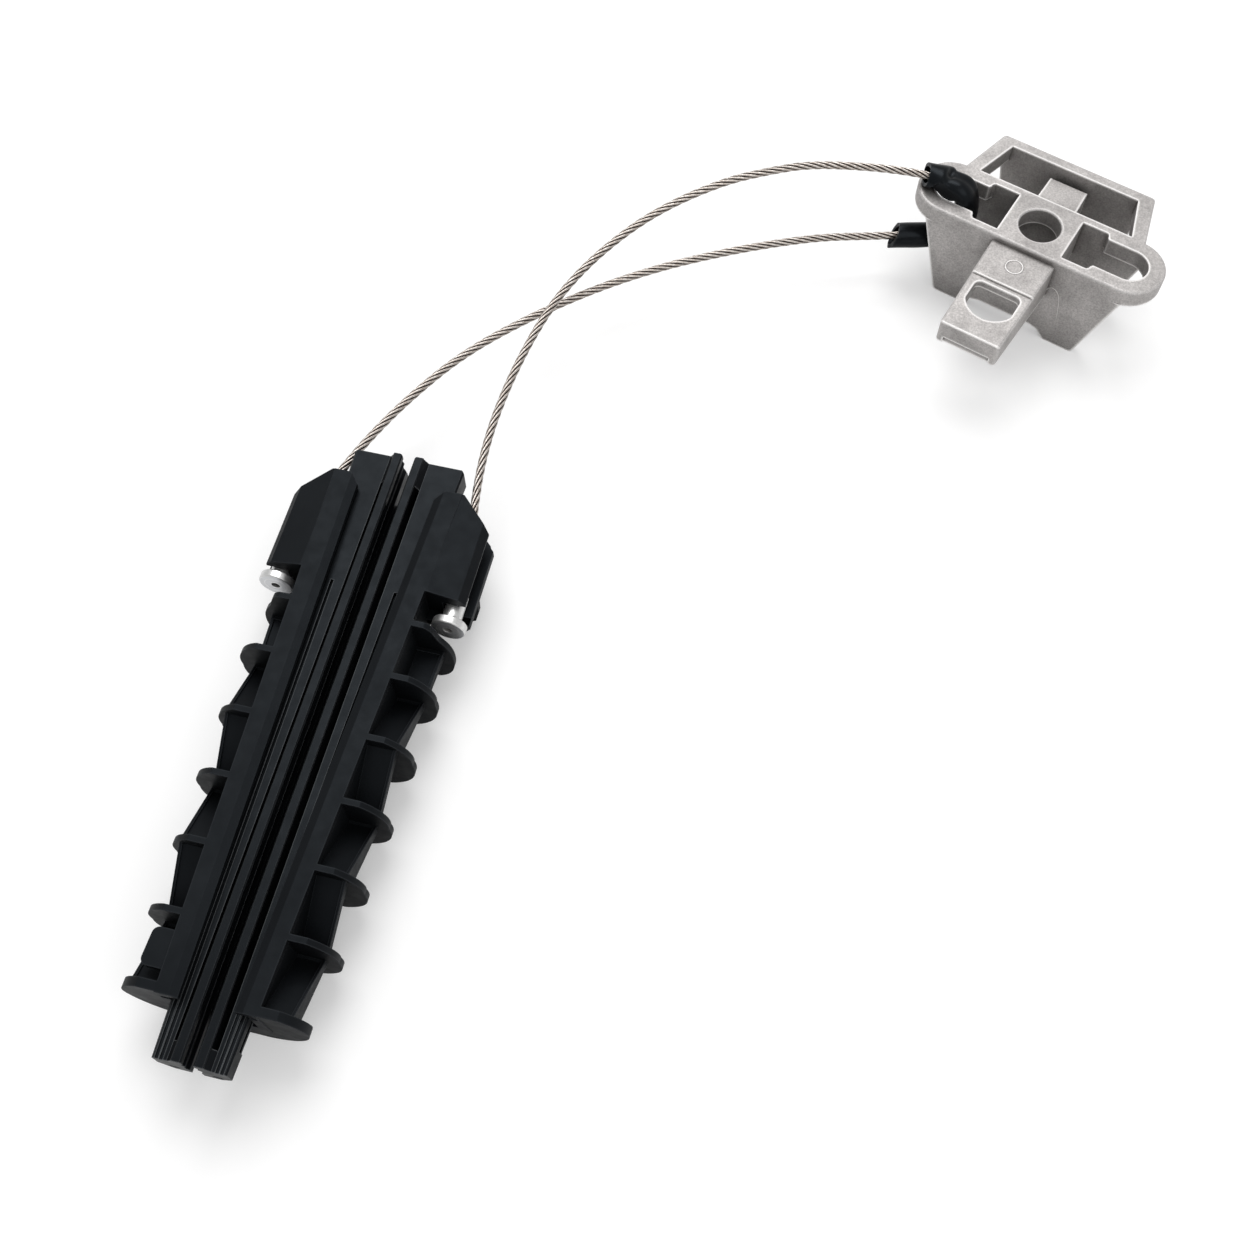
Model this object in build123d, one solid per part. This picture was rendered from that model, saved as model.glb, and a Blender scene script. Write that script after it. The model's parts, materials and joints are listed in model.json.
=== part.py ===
from build123d import *
import math
import os

# Anchor clamp for aerial cable, in millimetres, +Z up, lying on its back.
# The clamp's own frame has Y along the trough towards the rope, X across it,
# and its zero at the first fin. At the end everything is moved so that the
# origin is under the middle of the rigid pieces.

# Clamp body
body_height = 46.0
body_low_y = -151.0
body_top_y = 93.0
flange_thickness = 3.8
flange_inner_low = 11.5
flange_inner_top = 18.4
flange_outer_low = 20.9
flange_outer_top = 30.4
flange_bevel_width = 3.6
flange_bevel_drop = 1.3
wall_setback = 0.5
wall_draft = 1.3
trough_floor_top = body_height - 22.5
trough_floor_thickness = 3.0
spine_thickness = 3.0
corner_cut_width = 4.0
corner_cut_length = 5.0

# Fins of the clamp body, counted from the rope end
fin_count = 6
fin_pitch = 29.3
fin_first_y = -0.2
fin_thickness = 2.7
fin_half_width_first = 44.3
fin_half_width_last = 38.6
fin_flat_margin = 10.0
fin_shoulder_margin = 2.9
fin_shoulder_drop = 6.6
fin_crest_height = 26.0
fin_belly_margin = 3.2
fin_belly_share = 0.36
fin_foot_margin = 13.0
end_plate_thickness = 4.0
end_plate_lift = 6.0
end_plate_crest = 30.0
end_plate_foot_margin = 20.5
end_plate_belly_margin = 3.4
end_plate_belly_share = 0.55
end_notch_radius = 1.7
end_notch_depth = 2.0
end_notch_drop = 6.2

# Collar fin below the ears, curved in round the ferrule heads, as (x, z)
collar_fin_y = 26.0
collar_front = (33.0, 45.8)
collar_curve = [
    (35.8, 43.6),
    (37.4, 40.0),
    (39.0, 35.4),
    (41.6, 31.0),
    (43.8, 24.0),
    (44.0, 15.0),
    (41.2, 5.4),
]
collar_foot = 35.6

# Side panels between the fins: they rise and fall from fin to fin
panel_low = 25.5
panel_high = 40.0
panel_thickness = 3.0
panel_out_first = 39.0
panel_out_last = 33.1
panel_root = 4.0
panel_rim_width = 1.3
panel_rim_height = 0.8
skirt_thickness = 1.5
skirt_low_drop = 3.5
skirt_high_drop = 11.0
ledge_width = 1.7
ledge_rise = 0.9
collar_panel_height = 24.8
collar_panel_out = 40.2

# Rope ears of the clamp body
ear_half_width = 46.3
ear_low_y = 41.0
ear_shoulder_y = 79.0
ear_top_half_width = 31.4
ear_front_drop = 4.6
ear_front_flat = 29.2
ear_front_round = 3.0
ear_root = 2.8
rear_plate_half_width = 48.2
rear_plate_low_y = 36.0
rear_plate_top_y = 78.0
rear_plate_corner = 1.5
rear_plate_thickness = 4.0
channel_clearance = 0.3
channel_side_clearance = 0.6
channel_top_inner = 30.7
head_recess_clearance = 1.0
lower_rib_y = 56.0
lower_rib_half = 46.7
upper_rib_y = 85.0
upper_rib_half = 36.8

# Tab beside the lowest fin, flush with the front
tab_inner = 20.0
tab_outer = 30.9
tab_low_y = -142.0
tab_top_y = -126.3
tab_round = 3.0
tab_drop = 0.4

# Wedges
wedge_low_y = -173.2
wedge_top_y = 108.5
wedge_half_width_low = 15.2
wedge_half_width_top = 26.4
wedge_clearance = 0.3
wedge_front_low = body_height - 7.4
wedge_front_top = body_height - 5.2
wedge_back_chamfer = 5.5
wedge_end_bevel = 1.2
jaw_front_low = body_height - 4.3
jaw_front_top = body_height - 1.4
jaw_inner_low = 2.5
jaw_inner_top = 2.9
jaw_width = 4.3
jaw_slot_width = 2.1
jaw_slot_floor = body_height - 17.0
jaw_slot_top_run = 15.0
jaw_slot_low_run = 8.0
jaw_groove_depth = 1.2
jaw_end_chamfer = 1.2
wedge_pocket_start = 10.0
wedge_pocket_length = 36.0
wedge_pocket_depth = 3.0
wedge_pocket_back = body_height - 17.4
wedge_pocket_front = body_height - 11.4
front_groove_shares = (0.38, 0.68)
front_groove_width = 1.4
front_groove_depth = 0.7
front_groove_end_y = 40.0
end_hole_length = 5.0
end_hole_width = 2.6
end_hole_depth = 6.0
end_hole_height = body_height - 18.2

# Rope, ferrules and sleeve
rope_diameter = 4.0
rope_axis_height = 33.5
ferrule_axis_x = 40.8
ferrule_head_diameter = 15.8
ferrule_head_length = 4.0
ferrule_shank_diameter = 9.0
ferrule_length = 18.0
ferrule_head_y_left = 34.5
ferrule_head_y_right = 30.5
ferrule_edge_chamfer = 0.5
sleeve_diameter = 12.8
sleeve_mouth_diameter = 8.4
sleeve_mouth_depth = 4.0

# Bracket casting, in its own frame: zero on the bore's axis, at its feet
bracket_x = 267.4
bracket_y = 306.9
bracket_yaw = -19.0
plate_top = 54.0
plate_thickness = 9.5
plate_half_width = 17.6
ear_centre_x = 48.1
plate_edge_round = 1.3
bore_diameter = 21.2
bore_edge_chamfer = 0.6
cross_wall_half = 17.4
cross_wall_depth = 22.0
slot_wide_half = 13.3
slot_wide_end = 31.0
slot_step_end = 33.0
slot_narrow_half = 9.7
slot_tip_x = 57.1
slot_wide_round = 0.8
wall_thickness = 4.3
wall_foot_half = 39.2
wall_top_half = 53.0
wall_gap_half = 14.0
wall_gap_end = 23.6
wall_gap_height = 6.4
wall_gap_step = 18.9
wall_gap_step_height = 5.1
frame_root_half = 49.6
frame_back_half = 41.6
frame_back_y = 47.5
frame_wall = 6.0
frame_edge_round = 1.2
frame_corner_round = 2.2
frame_window_root = 41.4
frame_window_back = 34.6
rear_wall_top_half = 40.8
rear_wall_foot_half = 30.5
block_half = 10.8
block_top = 48.2
block_bottom = 34.0
block_end_y = 38.6
arm_top = 50.6
arm_half_root = 17.1
arm_half_end = 15.8
arm_end_y = -76.9
arm_step_y = -41.2
arm_step_drop = 0.9
arm_end_bottom = 36.2
arm_root_bottom = 30.0
arm_shell = 4.2
arm_edge_round = 1.3
arm_corner_round = 1.6
arm_groove_half = 12.2
arm_groove_depth = 0.8
arm_hole_half = 12.1
arm_hole_back_y = -43.9
arm_hole_front_y = -65.0
arm_hole_straight_y = -57.0
arm_hole_corner = 3.4
ring_mark_radius = 4.5
ring_mark_width = 0.5
ring_mark_height = 0.3
ring_mark_y = -28.3

# Route of the rope. The two free legs are in the clamp's frame and run from
# each ferrule towards the bracket, the loop is in the bracket's frame.
leg_left = [
    (-40.8, 36.5, 33.5),
    (-40.8, 68.0, 33.5),
    (-31.6, 101.0, 33.4),
    (-24.4, 124.0, 32.3),
    (-14.2, 150.5, 30.0),
    (2.0, 181.3, 28.4),
    (25.2, 209.0, 28.0),
    (54.2, 236.6, 27.9),
    (84.5, 259.0, 28.1),
    (115.2, 277.1, 27.8),
    (140.5, 289.6, 27.7),
    (163.4, 299.3, 27.5),
]
loop = [
    (-75.5, -27.0, 27.2),
    (-62.0, -17.0, 27.0),
    (-56.0, -8.8, 27.0),
    (-46.3, -2.2, 27.0),
    (-36.5, -1.5, 36.8),
    (-36.5, -1.6, 50.8),
    (-46.3, -2.4, 60.7),
    (-58.0, -3.6, 60.8),
    (-70.5, -7.6, 60.6),
    (-90.0, -16.0, 60.0),
]
leg_right = [
    (40.8, 32.5, 33.5),
    (40.8, 62.0, 33.5),
    (33.6, 98.0, 33.6),
    (30.3, 124.0, 33.7),
    (30.0, 151.0, 34.4),
    (33.0, 183.0, 35.7),
    (40.2, 218.0, 37.7),
    (54.6, 250.0, 40.4),
    (76.6, 279.5, 44.6),
    (106.4, 302.2, 50.0),
    (129.6, 312.0, 53.7),
    (149.2, 317.6, 57.2),
]
arc_share = 0.45


def prism(points, bottom, top):
    """Upright solid of a closed outline between two heights."""
    face = make_face(Polyline(*points, close=True))
    return Pos(0, 0, bottom) * extrude(face, amount=top - bottom, dir=(0, 0, 1))


def across(outline, y, thickness):
    """Plate across the clamp from an outline drawn as (x, z), its upper face at y."""
    return Pos(0, y, 0) * extrude(Plane.XZ * outline, amount=thickness, dir=(0, -1, 0))


def both_sides(side_points):
    """Closed outline from a right-hand run of points and its mirror image."""
    return side_points + [(-x, z) for x, z in reversed(side_points)]


def section_at(y, points):
    """Face across the clamp at a place along it."""
    return Pos(0, y, 0) * (Plane.XZ * make_face(Polyline(*points, close=True)))


def tapered(low_y, top_y, section):
    """Straight-sided solid between two places, from a function that draws its section."""
    return loft([section_at(low_y, section(low_y)), section_at(top_y, section(top_y))], ruled=True)


def on_side(shape, side):
    """A right-hand shape as it is, or its mirror image for the left."""
    return shape if side > 0 else mirror(shape, about=Plane.YZ)


def along(y, low_y, top_y, low, top):
    """Value that changes evenly between the two ends of a piece."""
    return low + (top - low) * (y - low_y) / (top_y - low_y)


def wedge_half(y):
    """Half-width over both wedges at a place along the trough."""
    return along(y, wedge_low_y, wedge_top_y, wedge_half_width_low, wedge_half_width_top)


def flange_inner(y):
    """Distance of a flange's inner edge from the middle."""
    return along(y, body_low_y, body_top_y, flange_inner_low, flange_inner_top)


def flange_outer(y):
    """Distance of a flange's outer edge from the middle."""
    return along(y, body_low_y, body_top_y, flange_outer_low, flange_outer_top)


def cavity_half(y):
    """Half-width of the trough's inside."""
    return wedge_half(y) + wedge_clearance


def fin_y(index):
    """Place of a fin's upper face."""
    return fin_first_y - index * fin_pitch


def fin_half(index):
    """Half-width of a fin."""
    return fin_half_width_first + (fin_half_width_last - fin_half_width_first) * index / (fin_count - 1)


def fin_outline(half, lift, crest, foot_margin, belly_margin, belly_share):
    """Section of a fin: flat front, round shoulder, and a round foot."""
    flat = half - fin_flat_margin
    foot = half - foot_margin
    shoulder_x = half - fin_shoulder_margin
    shoulder_z = body_height - fin_shoulder_drop
    belly_x = half - belly_margin
    belly_z = lift + (crest - lift) * belly_share
    shoulder = ThreePointArc((flat, body_height), (shoulder_x, shoulder_z), (half, crest))
    belly = ThreePointArc((half, crest), (belly_x, belly_z), (foot, lift))
    other_belly = ThreePointArc((-foot, lift), (-belly_x, belly_z), (-half, crest))
    other_shoulder = ThreePointArc((-half, crest), (-shoulder_x, shoulder_z), (-flat, body_height))
    front = Line((-flat, body_height), (flat, body_height))
    base = Line((foot, lift), (-foot, lift))
    return make_face([shoulder, belly, base, other_belly, other_shoulder, front])


def fin(index):
    """One full fin, or the end plate for the last one."""
    half = fin_half(index)
    if index == fin_count - 1:
        outline = fin_outline(
            half,
            end_plate_lift,
            end_plate_crest,
            end_plate_foot_margin,
            end_plate_belly_margin,
            end_plate_belly_share,
        )
        return across(outline, fin_y(index), end_plate_thickness)
    outline = fin_outline(half, 0.0, fin_crest_height, fin_foot_margin, fin_belly_margin, fin_belly_share)
    return across(outline, fin_y(index), fin_thickness)


def collar_outline():
    """Section of the fin under the ears, curved in to clear the ferrule heads."""
    right = [collar_front] + collar_curve + [(collar_foot, 0.0)]
    left = [(-x, z) for x, z in right]
    inner_front = (flange_outer(collar_fin_y) - 1.0, body_height)
    other_front = (-inner_front[0], body_height)
    return make_face(
        [
            Line(inner_front, right[0]),
            Spline(*right),
            Line(right[-1], left[-1]),
            Spline(*reversed(left)),
            Line(left[0], other_front),
            Line(other_front, inner_front),
        ]
    )


def trough_cut():
    """Room for the wedges and the open front between the bevelled flanges."""
    front = body_height - flange_thickness

    def section(y):
        room = cavity_half(y)
        mouth = flange_inner(y)
        return both_sides(
            [
                (room, trough_floor_top),
                (room, front),
                (mouth, front),
                (mouth, body_height - flange_bevel_drop),
                (mouth + flange_bevel_width, body_height),
                (mouth + flange_bevel_width, body_height + 1.0),
            ]
        )

    return tapered(body_low_y - 1.0, body_top_y + 1.0, section)


def trough():
    """Tapered channel: two drafted side walls with flanges, and the wedges' floor."""
    flange_back = body_height - flange_thickness

    def section(y):
        edge = flange_outer(y)
        wall = edge - wall_setback
        return both_sides(
            [
                (wall + wall_draft, trough_floor_top - trough_floor_thickness),
                (wall, flange_back),
                (edge, flange_back),
                (edge, body_height),
            ]
        )

    return tapered(body_low_y, body_top_y, section)


def panel_edge(index):
    """Distance of a side panel's outer edge from the middle at one fin."""
    return panel_out_first + (panel_out_last - panel_out_first) * index / (fin_count - 1)


def panel_height(index):
    """Height of the side panels' surface at one fin: low and high by turns."""
    return panel_low if index % 2 == 0 else panel_high


def panel_section(y, outer, surface, skirt_drop):
    """Section of a side panel with its raised rim and the skirt under its edge."""
    inner = flange_outer(y) - panel_root
    back = surface - panel_thickness
    return section_at(
        y,
        [
            (inner, back),
            (outer - skirt_thickness, back),
            (outer - skirt_thickness, surface - skirt_drop),
            (outer, surface - skirt_drop),
            (outer, surface + panel_rim_height),
            (outer - panel_rim_width, surface + panel_rim_height),
            (outer - panel_rim_width, surface),
            (inner, surface),
        ],
    )


def ledge(y, outer, surface):
    """Flat strip across the low end of a side panel, under a fin."""
    inner = flange_outer(y) - panel_root
    return prism(
        [(inner, y - ledge_width), (outer, y - ledge_width), (outer, y + 0.3), (inner, y + 0.3)],
        surface - panel_thickness,
        surface + ledge_rise,
    )


def side_panel(index, side):
    """Sloping panel between two fins, mirrored from side to side."""
    upper_y = fin_y(index) - fin_thickness
    lower_y = fin_y(index + 1)
    upper_drop = skirt_low_drop
    lower_drop = skirt_high_drop if index % 2 == 0 else skirt_low_drop
    panel = loft(
        [
            panel_section(lower_y - 0.3, panel_edge(index + 1), panel_height(index + 1), lower_drop),
            panel_section(upper_y + 0.3, panel_edge(index), panel_height(index), upper_drop),
        ],
        ruled=True,
    )
    if index % 2 == 0:
        panel += ledge(upper_y, panel_edge(index), panel_height(index))
    return on_side(panel, side)


def collar_panel(side):
    """Level panel between the collar fin and the first full fin."""
    upper_y = collar_fin_y - fin_thickness
    lower_y = fin_y(0)
    panel = loft(
        [
            panel_section(lower_y - 0.3, panel_edge(0), collar_panel_height, skirt_low_drop),
            panel_section(upper_y + 0.3, collar_panel_out, collar_panel_height, skirt_low_drop),
        ],
        ruled=True,
    )
    return on_side(panel + ledge(upper_y, collar_panel_out, collar_panel_height), side)


def channel_floor():
    """Height of the rope channel's floor in the ears."""
    return rope_axis_height - ferrule_shank_diameter / 2 - channel_clearance


def rear_plate_back():
    """Height of the back of the ears' rear plates."""
    return channel_floor() - rear_plate_thickness


def ear(side):
    """Rope ear: sloped front cover, rope channel open to the side, and a rear plate."""
    inner = flange_outer(ear_low_y) - ear_root
    cover_back = rope_axis_height + ferrule_shank_diameter / 2 + channel_clearance
    outline = [
        (inner, ear_low_y),
        (ear_half_width, ear_low_y),
        (ear_half_width, ear_shoulder_y),
        (ear_top_half_width, body_top_y),
        (inner, body_top_y),
    ]
    block = prism(outline, rear_plate_back(), body_height)
    beyond = ear_half_width + 5.0
    shave = make_face(
        Polyline(
            (ear_front_flat, body_height),
            (ear_half_width - ear_front_round, body_height - ear_front_drop * 0.62),
            (ear_half_width, body_height - ear_front_drop - ear_front_round * 0.6),
            (beyond, body_height - ear_front_drop),
            (beyond, body_height + 5.0),
            (ear_front_flat, body_height + 5.0),
            close=True,
        )
    )
    block -= across(shave, body_top_y + 1.0, body_top_y - ear_low_y + 2.0)
    shank_inner = ferrule_axis_x - ferrule_shank_diameter / 2 - channel_side_clearance
    shank_end = ferrule_head_y_left + ferrule_length + 3.0
    channel = prism(
        [
            (shank_inner, ear_low_y - 1.0),
            (shank_inner, shank_end),
            (channel_top_inner, body_top_y + 1.0),
            (ear_half_width + 10.0, body_top_y + 1.0),
            (ear_half_width + 10.0, ear_low_y - 1.0),
        ],
        channel_floor(),
        cover_back,
    )
    corner = rear_plate_corner
    rear = prism(
        [
            (inner, rear_plate_low_y),
            (rear_plate_half_width - corner, rear_plate_low_y),
            (rear_plate_half_width, rear_plate_low_y + corner),
            (rear_plate_half_width, rear_plate_top_y - corner),
            (rear_plate_half_width - corner, rear_plate_top_y),
            (ear_top_half_width, body_top_y - 1.0),
            (inner, body_top_y - 1.0),
        ],
        rear_plate_back(),
        channel_floor(),
    )
    head_room = ferrule_head_diameter / 2 + head_recess_clearance
    recess = Pos(ferrule_axis_x, ear_low_y, rope_axis_height) * Rot(90, 0, 0) * Cylinder(
        head_room, ear_low_y - rear_plate_low_y + 2.0, align=(Align.CENTER, Align.CENTER, Align.MIN)
    )
    return on_side(block - channel + (rear - recess), side)


def ear_rib(half, y):
    """Fin behind the ears, which carries them on the surface below."""
    right = [
        (half - 0.3, rear_plate_back() + 0.5),
        (half, 19.7),
        (half - 0.4, 10.9),
        (half - 2.5, 2.2),
        (half - 5.7, 0.0),
    ]
    return across(make_face(Polyline(*both_sides(right), close=True)), y, fin_thickness)


def end_tab():
    """Flat rounded tab flush with the front, beside the lowest fin."""
    tab = prism(
        [
            (-tab_inner, tab_low_y),
            (-tab_outer, tab_low_y),
            (-tab_outer + 0.6, tab_top_y),
            (-tab_inner, tab_top_y),
        ],
        body_height - flange_thickness,
        body_height - tab_drop,
    )
    outer = tab.edges().filter_by(Axis.Z).sort_by(Axis.X)[0:2]
    return fillet(outer, tab_round)


def end_notch(side):
    """Small round recess in the end plate, beside the wedges."""
    x = side * (cavity_half(body_low_y) + end_notch_radius)
    return Pos(x, body_low_y - 1.0, body_height - end_notch_drop) * Rot(-90, 0, 0) * Cylinder(
        end_notch_radius, end_notch_depth + 1.0, align=(Align.CENTER, Align.CENTER, Align.MIN)
    )


def corner_cut(side):
    """Cut across the flange's inner corner at the rope end."""
    inner = flange_inner(body_top_y)
    cut = prism(
        [
            (inner - 1.0, body_top_y - corner_cut_length - 1.0),
            (inner + corner_cut_width + 1.0, body_top_y + 1.0),
            (inner - 1.0, body_top_y + 1.0),
        ],
        body_height - flange_thickness - 0.5,
        body_height + 1.0,
    )
    return on_side(cut, side)


def clamp_body():
    """One-piece moulded body of the clamp."""
    body = trough()
    for index in range(fin_count):
        body += fin(index)
    body += across(collar_outline(), collar_fin_y, fin_thickness)
    body += ear_rib(lower_rib_half, lower_rib_y)
    body += ear_rib(upper_rib_half, upper_rib_y)
    spine_low = body_low_y + end_plate_thickness
    body += prism(
        [
            (-spine_thickness / 2, spine_low),
            (spine_thickness / 2, spine_low),
            (spine_thickness / 2, body_top_y - 6.0),
            (-spine_thickness / 2, body_top_y - 6.0),
        ],
        end_plate_lift + 2.0,
        trough_floor_top,
    )
    for side in (-1, 1):
        body += ear(side)
        body += collar_panel(side)
        for index in range(fin_count - 1):
            body += side_panel(index, side)
    body += end_tab()
    body -= trough_cut()
    for side in (-1, 1):
        body -= end_notch(side)
        body -= corner_cut(side)
    return body


def wedge_section(y):
    """Section of the right-hand wedge, with its grooved jaw face, as (x, z) points."""
    half = wedge_half(y)
    jaw_in = along(y, wedge_low_y, wedge_top_y, jaw_inner_low, jaw_inner_top)
    front = along(y, wedge_low_y, wedge_top_y, wedge_front_low, wedge_front_top)
    jaw = along(y, wedge_low_y, wedge_top_y, jaw_front_low, jaw_front_top)
    slot_in = jaw_in + jaw_width
    slot_out = slot_in + jaw_slot_width
    base = trough_floor_top + wedge_clearance
    return [
        (jaw_in, base),
        (half - wedge_back_chamfer, base),
        (half, base + wedge_back_chamfer),
        (half, front - 0.8),
        (half - 0.8, front),
        (slot_out, front),
        (slot_out, jaw_slot_floor),
        (slot_in, jaw_slot_floor),
        (slot_in, jaw - 0.4),
        (slot_in - 0.4, jaw),
        (jaw_in + 0.6, jaw),
        (jaw_in, jaw - 0.6),
        (jaw_in, jaw - 3.2),
        (jaw_in + jaw_groove_depth, jaw - 4.6),
        (jaw_in + jaw_groove_depth, jaw - 5.8),
        (jaw_in, jaw - 7.2),
        (jaw_in + jaw_groove_depth, jaw - 8.6),
        (jaw_in + jaw_groove_depth, jaw - 12.4),
        (jaw_in, jaw - 13.8),
    ]


def slot_plug(low_y, top_y):
    """Filling at one end of the jaw's slot, with a face that slopes up to the jaw."""

    def section(y):
        jaw_in = along(y, wedge_low_y, wedge_top_y, jaw_inner_low, jaw_inner_top)
        front = along(y, wedge_low_y, wedge_top_y, wedge_front_low, wedge_front_top)
        jaw = along(y, wedge_low_y, wedge_top_y, jaw_front_low, jaw_front_top)
        slot_in = jaw_in + jaw_width
        return [
            (slot_in - 0.3, jaw_slot_floor - 0.3),
            (slot_in + jaw_slot_width + 0.3, jaw_slot_floor - 0.3),
            (slot_in + jaw_slot_width + 0.3, front - 0.2),
            (slot_in + jaw_slot_width, front - 0.2),
            (slot_in - 0.3, jaw - 0.5),
        ]

    return tapered(low_y, top_y, section)


def front_groove(share):
    """Shallow groove along a wedge's front, at a share of the plate beside the slot."""
    points = []
    for y in (wedge_low_y - 1.0, front_groove_end_y):
        slot_out = along(y, wedge_low_y, wedge_top_y, jaw_inner_low, jaw_inner_top) + jaw_width + jaw_slot_width
        points.append((slot_out + share * (wedge_half(y) - slot_out), y))
    (low_x, low_y), (top_x, top_y) = points
    half = front_groove_width / 2
    return prism(
        [(low_x - half, low_y), (low_x + half, low_y), (top_x + half, top_y), (top_x - half, top_y)],
        wedge_front_low - front_groove_depth,
        body_height,
    )


def wedge(side):
    """Tapered jaw wedge with a raised, grooved jaw strip beside a deep slot."""
    body = tapered(wedge_low_y, wedge_top_y, wedge_section)
    body += slot_plug(wedge_top_y - jaw_slot_top_run, wedge_top_y)
    body += slot_plug(wedge_low_y, wedge_low_y + jaw_slot_low_run)
    for share in front_groove_shares:
        body -= front_groove(share)
    pocket_low = wedge_low_y + wedge_pocket_start
    pocket_top = pocket_low + wedge_pocket_length
    body -= prism(
        [
            (wedge_half(pocket_low) - wedge_pocket_depth, pocket_low),
            (wedge_half(pocket_top) + 2.0, pocket_low),
            (wedge_half(pocket_top) + 2.0, pocket_top),
            (wedge_half(pocket_top) - wedge_pocket_depth, pocket_top),
        ],
        wedge_pocket_back,
        wedge_pocket_front,
    )
    hole_x = (jaw_inner_low + wedge_half_width_low) / 2
    hole = extrude(
        Plane.XZ * SlotOverall(end_hole_length, end_hole_width), amount=end_hole_depth + 1.0, dir=(0, 1, 0)
    )
    body -= Pos(hole_x, wedge_low_y - 1.0, end_hole_height) * hole
    body -= prism(
        [
            (jaw_inner_top - 1.0, wedge_top_y - jaw_end_chamfer),
            (jaw_inner_top + jaw_end_chamfer, wedge_top_y + 0.2),
            (jaw_inner_top - 1.0, wedge_top_y + 0.2),
        ],
        jaw_slot_floor,
        body_height,
    )
    outer = wedge_half(wedge_top_y)
    body -= prism(
        [
            (outer + 1.0, wedge_top_y - wedge_end_bevel - 1.0),
            (outer + 1.0, wedge_top_y + 1.0),
            (outer - wedge_end_bevel - 1.0, wedge_top_y + 1.0),
        ],
        trough_floor_top,
        body_height,
    )
    return on_side(body, side)


def ferrule(side, head_y):
    """Headed ferrule with the rope's bore and a chamfered head."""
    head = ferrule_head_diameter / 2
    shank = ferrule_shank_diameter / 2
    bore = rope_diameter / 2
    outline = [
        (bore, 0.0),
        (head - ferrule_edge_chamfer, 0.0),
        (head, ferrule_edge_chamfer),
        (head, ferrule_head_length - ferrule_edge_chamfer),
        (head - ferrule_edge_chamfer, ferrule_head_length),
        (shank, ferrule_head_length),
        (shank, ferrule_length - ferrule_edge_chamfer),
        (shank - ferrule_edge_chamfer, ferrule_length),
        (bore, ferrule_length),
    ]
    face = make_face(Polyline(*outline, close=True))
    turned = revolve(face, axis=Axis.Y)
    return Pos(side * ferrule_axis_x, head_y, rope_axis_height) * turned


def bracket_place():
    """Place of the bracket's own frame in the clamp's frame."""
    return Pos(bracket_x, bracket_y, 0) * Rot(0, 0, bracket_yaw)


def loop_points():
    """The loop's points, moved from the bracket's frame to the clamp's."""
    return [(bracket_place() * Pos(*point)).position for point in loop]


def route_points():
    """The whole rope from the left ferrule through the bracket to the right one."""
    points = [Vector(*point) for point in leg_left]
    points += loop_points()
    points += [Vector(*point) for point in reversed(leg_right)]
    return points


def route_radii(points):
    """Largest bend at each corner that its two runs allow."""
    radii = []
    for before, corner, after in zip(points, points[1:], points[2:]):
        into = corner - before
        out = after - corner
        turn = math.radians(into.get_angle(out))
        shorter = min(into.length, out.length)
        radii.append(arc_share * shorter / math.tan(turn / 2))
    return radii


def tube(points, radii, outer_radius):
    """Round bar along straight runs and tangent arcs."""
    path = FilletPolyline(*points, radius=radii)
    start = Plane(origin=path @ 0, z_dir=path % 0)
    return sweep(start * Circle(outer_radius), path=path), path


def rope():
    """The rope as one plain round bar."""
    points = route_points()
    radii = route_radii(points)
    bar, path = tube(points, radii, rope_diameter / 2)
    print("rope length", round(path.length, 1))
    print("rope radii", [round(radius) for radius in radii])
    print("rope volume over section times length", bar.volume / (path.length * math.pi * rope_diameter ** 2 / 4))
    return bar


def sleeve():
    """Rubber hose on the rope where it goes round the bracket's ear."""
    points = route_points()
    radii = route_radii(points)
    first = len(leg_left)
    last = first + len(loop) - 2
    start = (points[first] + points[first + 1]) / 2
    end = (points[last] + points[last - 1]) / 2
    inner_points = points[first + 1:last]
    inner_radii = radii[first:last - 1]
    route = [start] + inner_points + [end]
    hose = tube(route, inner_radii, sleeve_diameter / 2)[0]
    hose -= tube(route, inner_radii, rope_diameter / 2)[0]
    for mouth, inward in ((route[0], route[1] - route[0]), (route[-1], route[-2] - route[-1])):
        hose -= Plane(origin=mouth, z_dir=inward) * Cylinder(
            sleeve_mouth_diameter / 2,
            sleeve_mouth_depth,
            align=(Align.CENTER, Align.CENTER, Align.MIN),
        )
    return hose


def plate_outline():
    """Oblong plan of the bracket's plate."""
    return make_face(SlotCenterToCenter(2 * ear_centre_x, 2 * plate_half_width).wire())


def ear_slot(side):
    """Stepped slot in one ear: wide at the bore block, narrow with a round tip."""
    centre = slot_tip_x - slot_narrow_half
    wide = Pos((cross_wall_half + slot_wide_end) / 2, 0) * Rectangle(
        slot_wide_end - cross_wall_half, 2 * slot_wide_half
    )
    step = Pos((cross_wall_half + slot_step_end) / 2, 0) * Rectangle(
        slot_step_end - cross_wall_half, 2 * (slot_wide_half - slot_wide_round * 2)
    )
    narrow = Pos((cross_wall_half + centre) / 2, 0) * Rectangle(centre - cross_wall_half, 2 * slot_narrow_half)
    tip = Pos(centre, 0) * Circle(slot_narrow_half)
    return on_side(wide + step + narrow + tip, side)


def long_wall(y_near, y_far, gap):
    """One of the two long walls under the plate, narrower at its foot."""
    top = plate_top - plate_thickness + 0.5
    side = [
        (wall_top_half, top),
        (wall_foot_half + 1.2, 2.4),
        (wall_foot_half + 0.4, 0.7),
        (wall_foot_half - 1.0, 0.0),
    ]
    if gap:
        side += [
            (wall_gap_end, 0.0),
            (wall_gap_step, wall_gap_step_height),
            (wall_gap_half, wall_gap_height),
        ]
    face = make_face(Polyline(*both_sides(side), close=True))
    return across(face, y_far, y_far - y_near)


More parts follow.
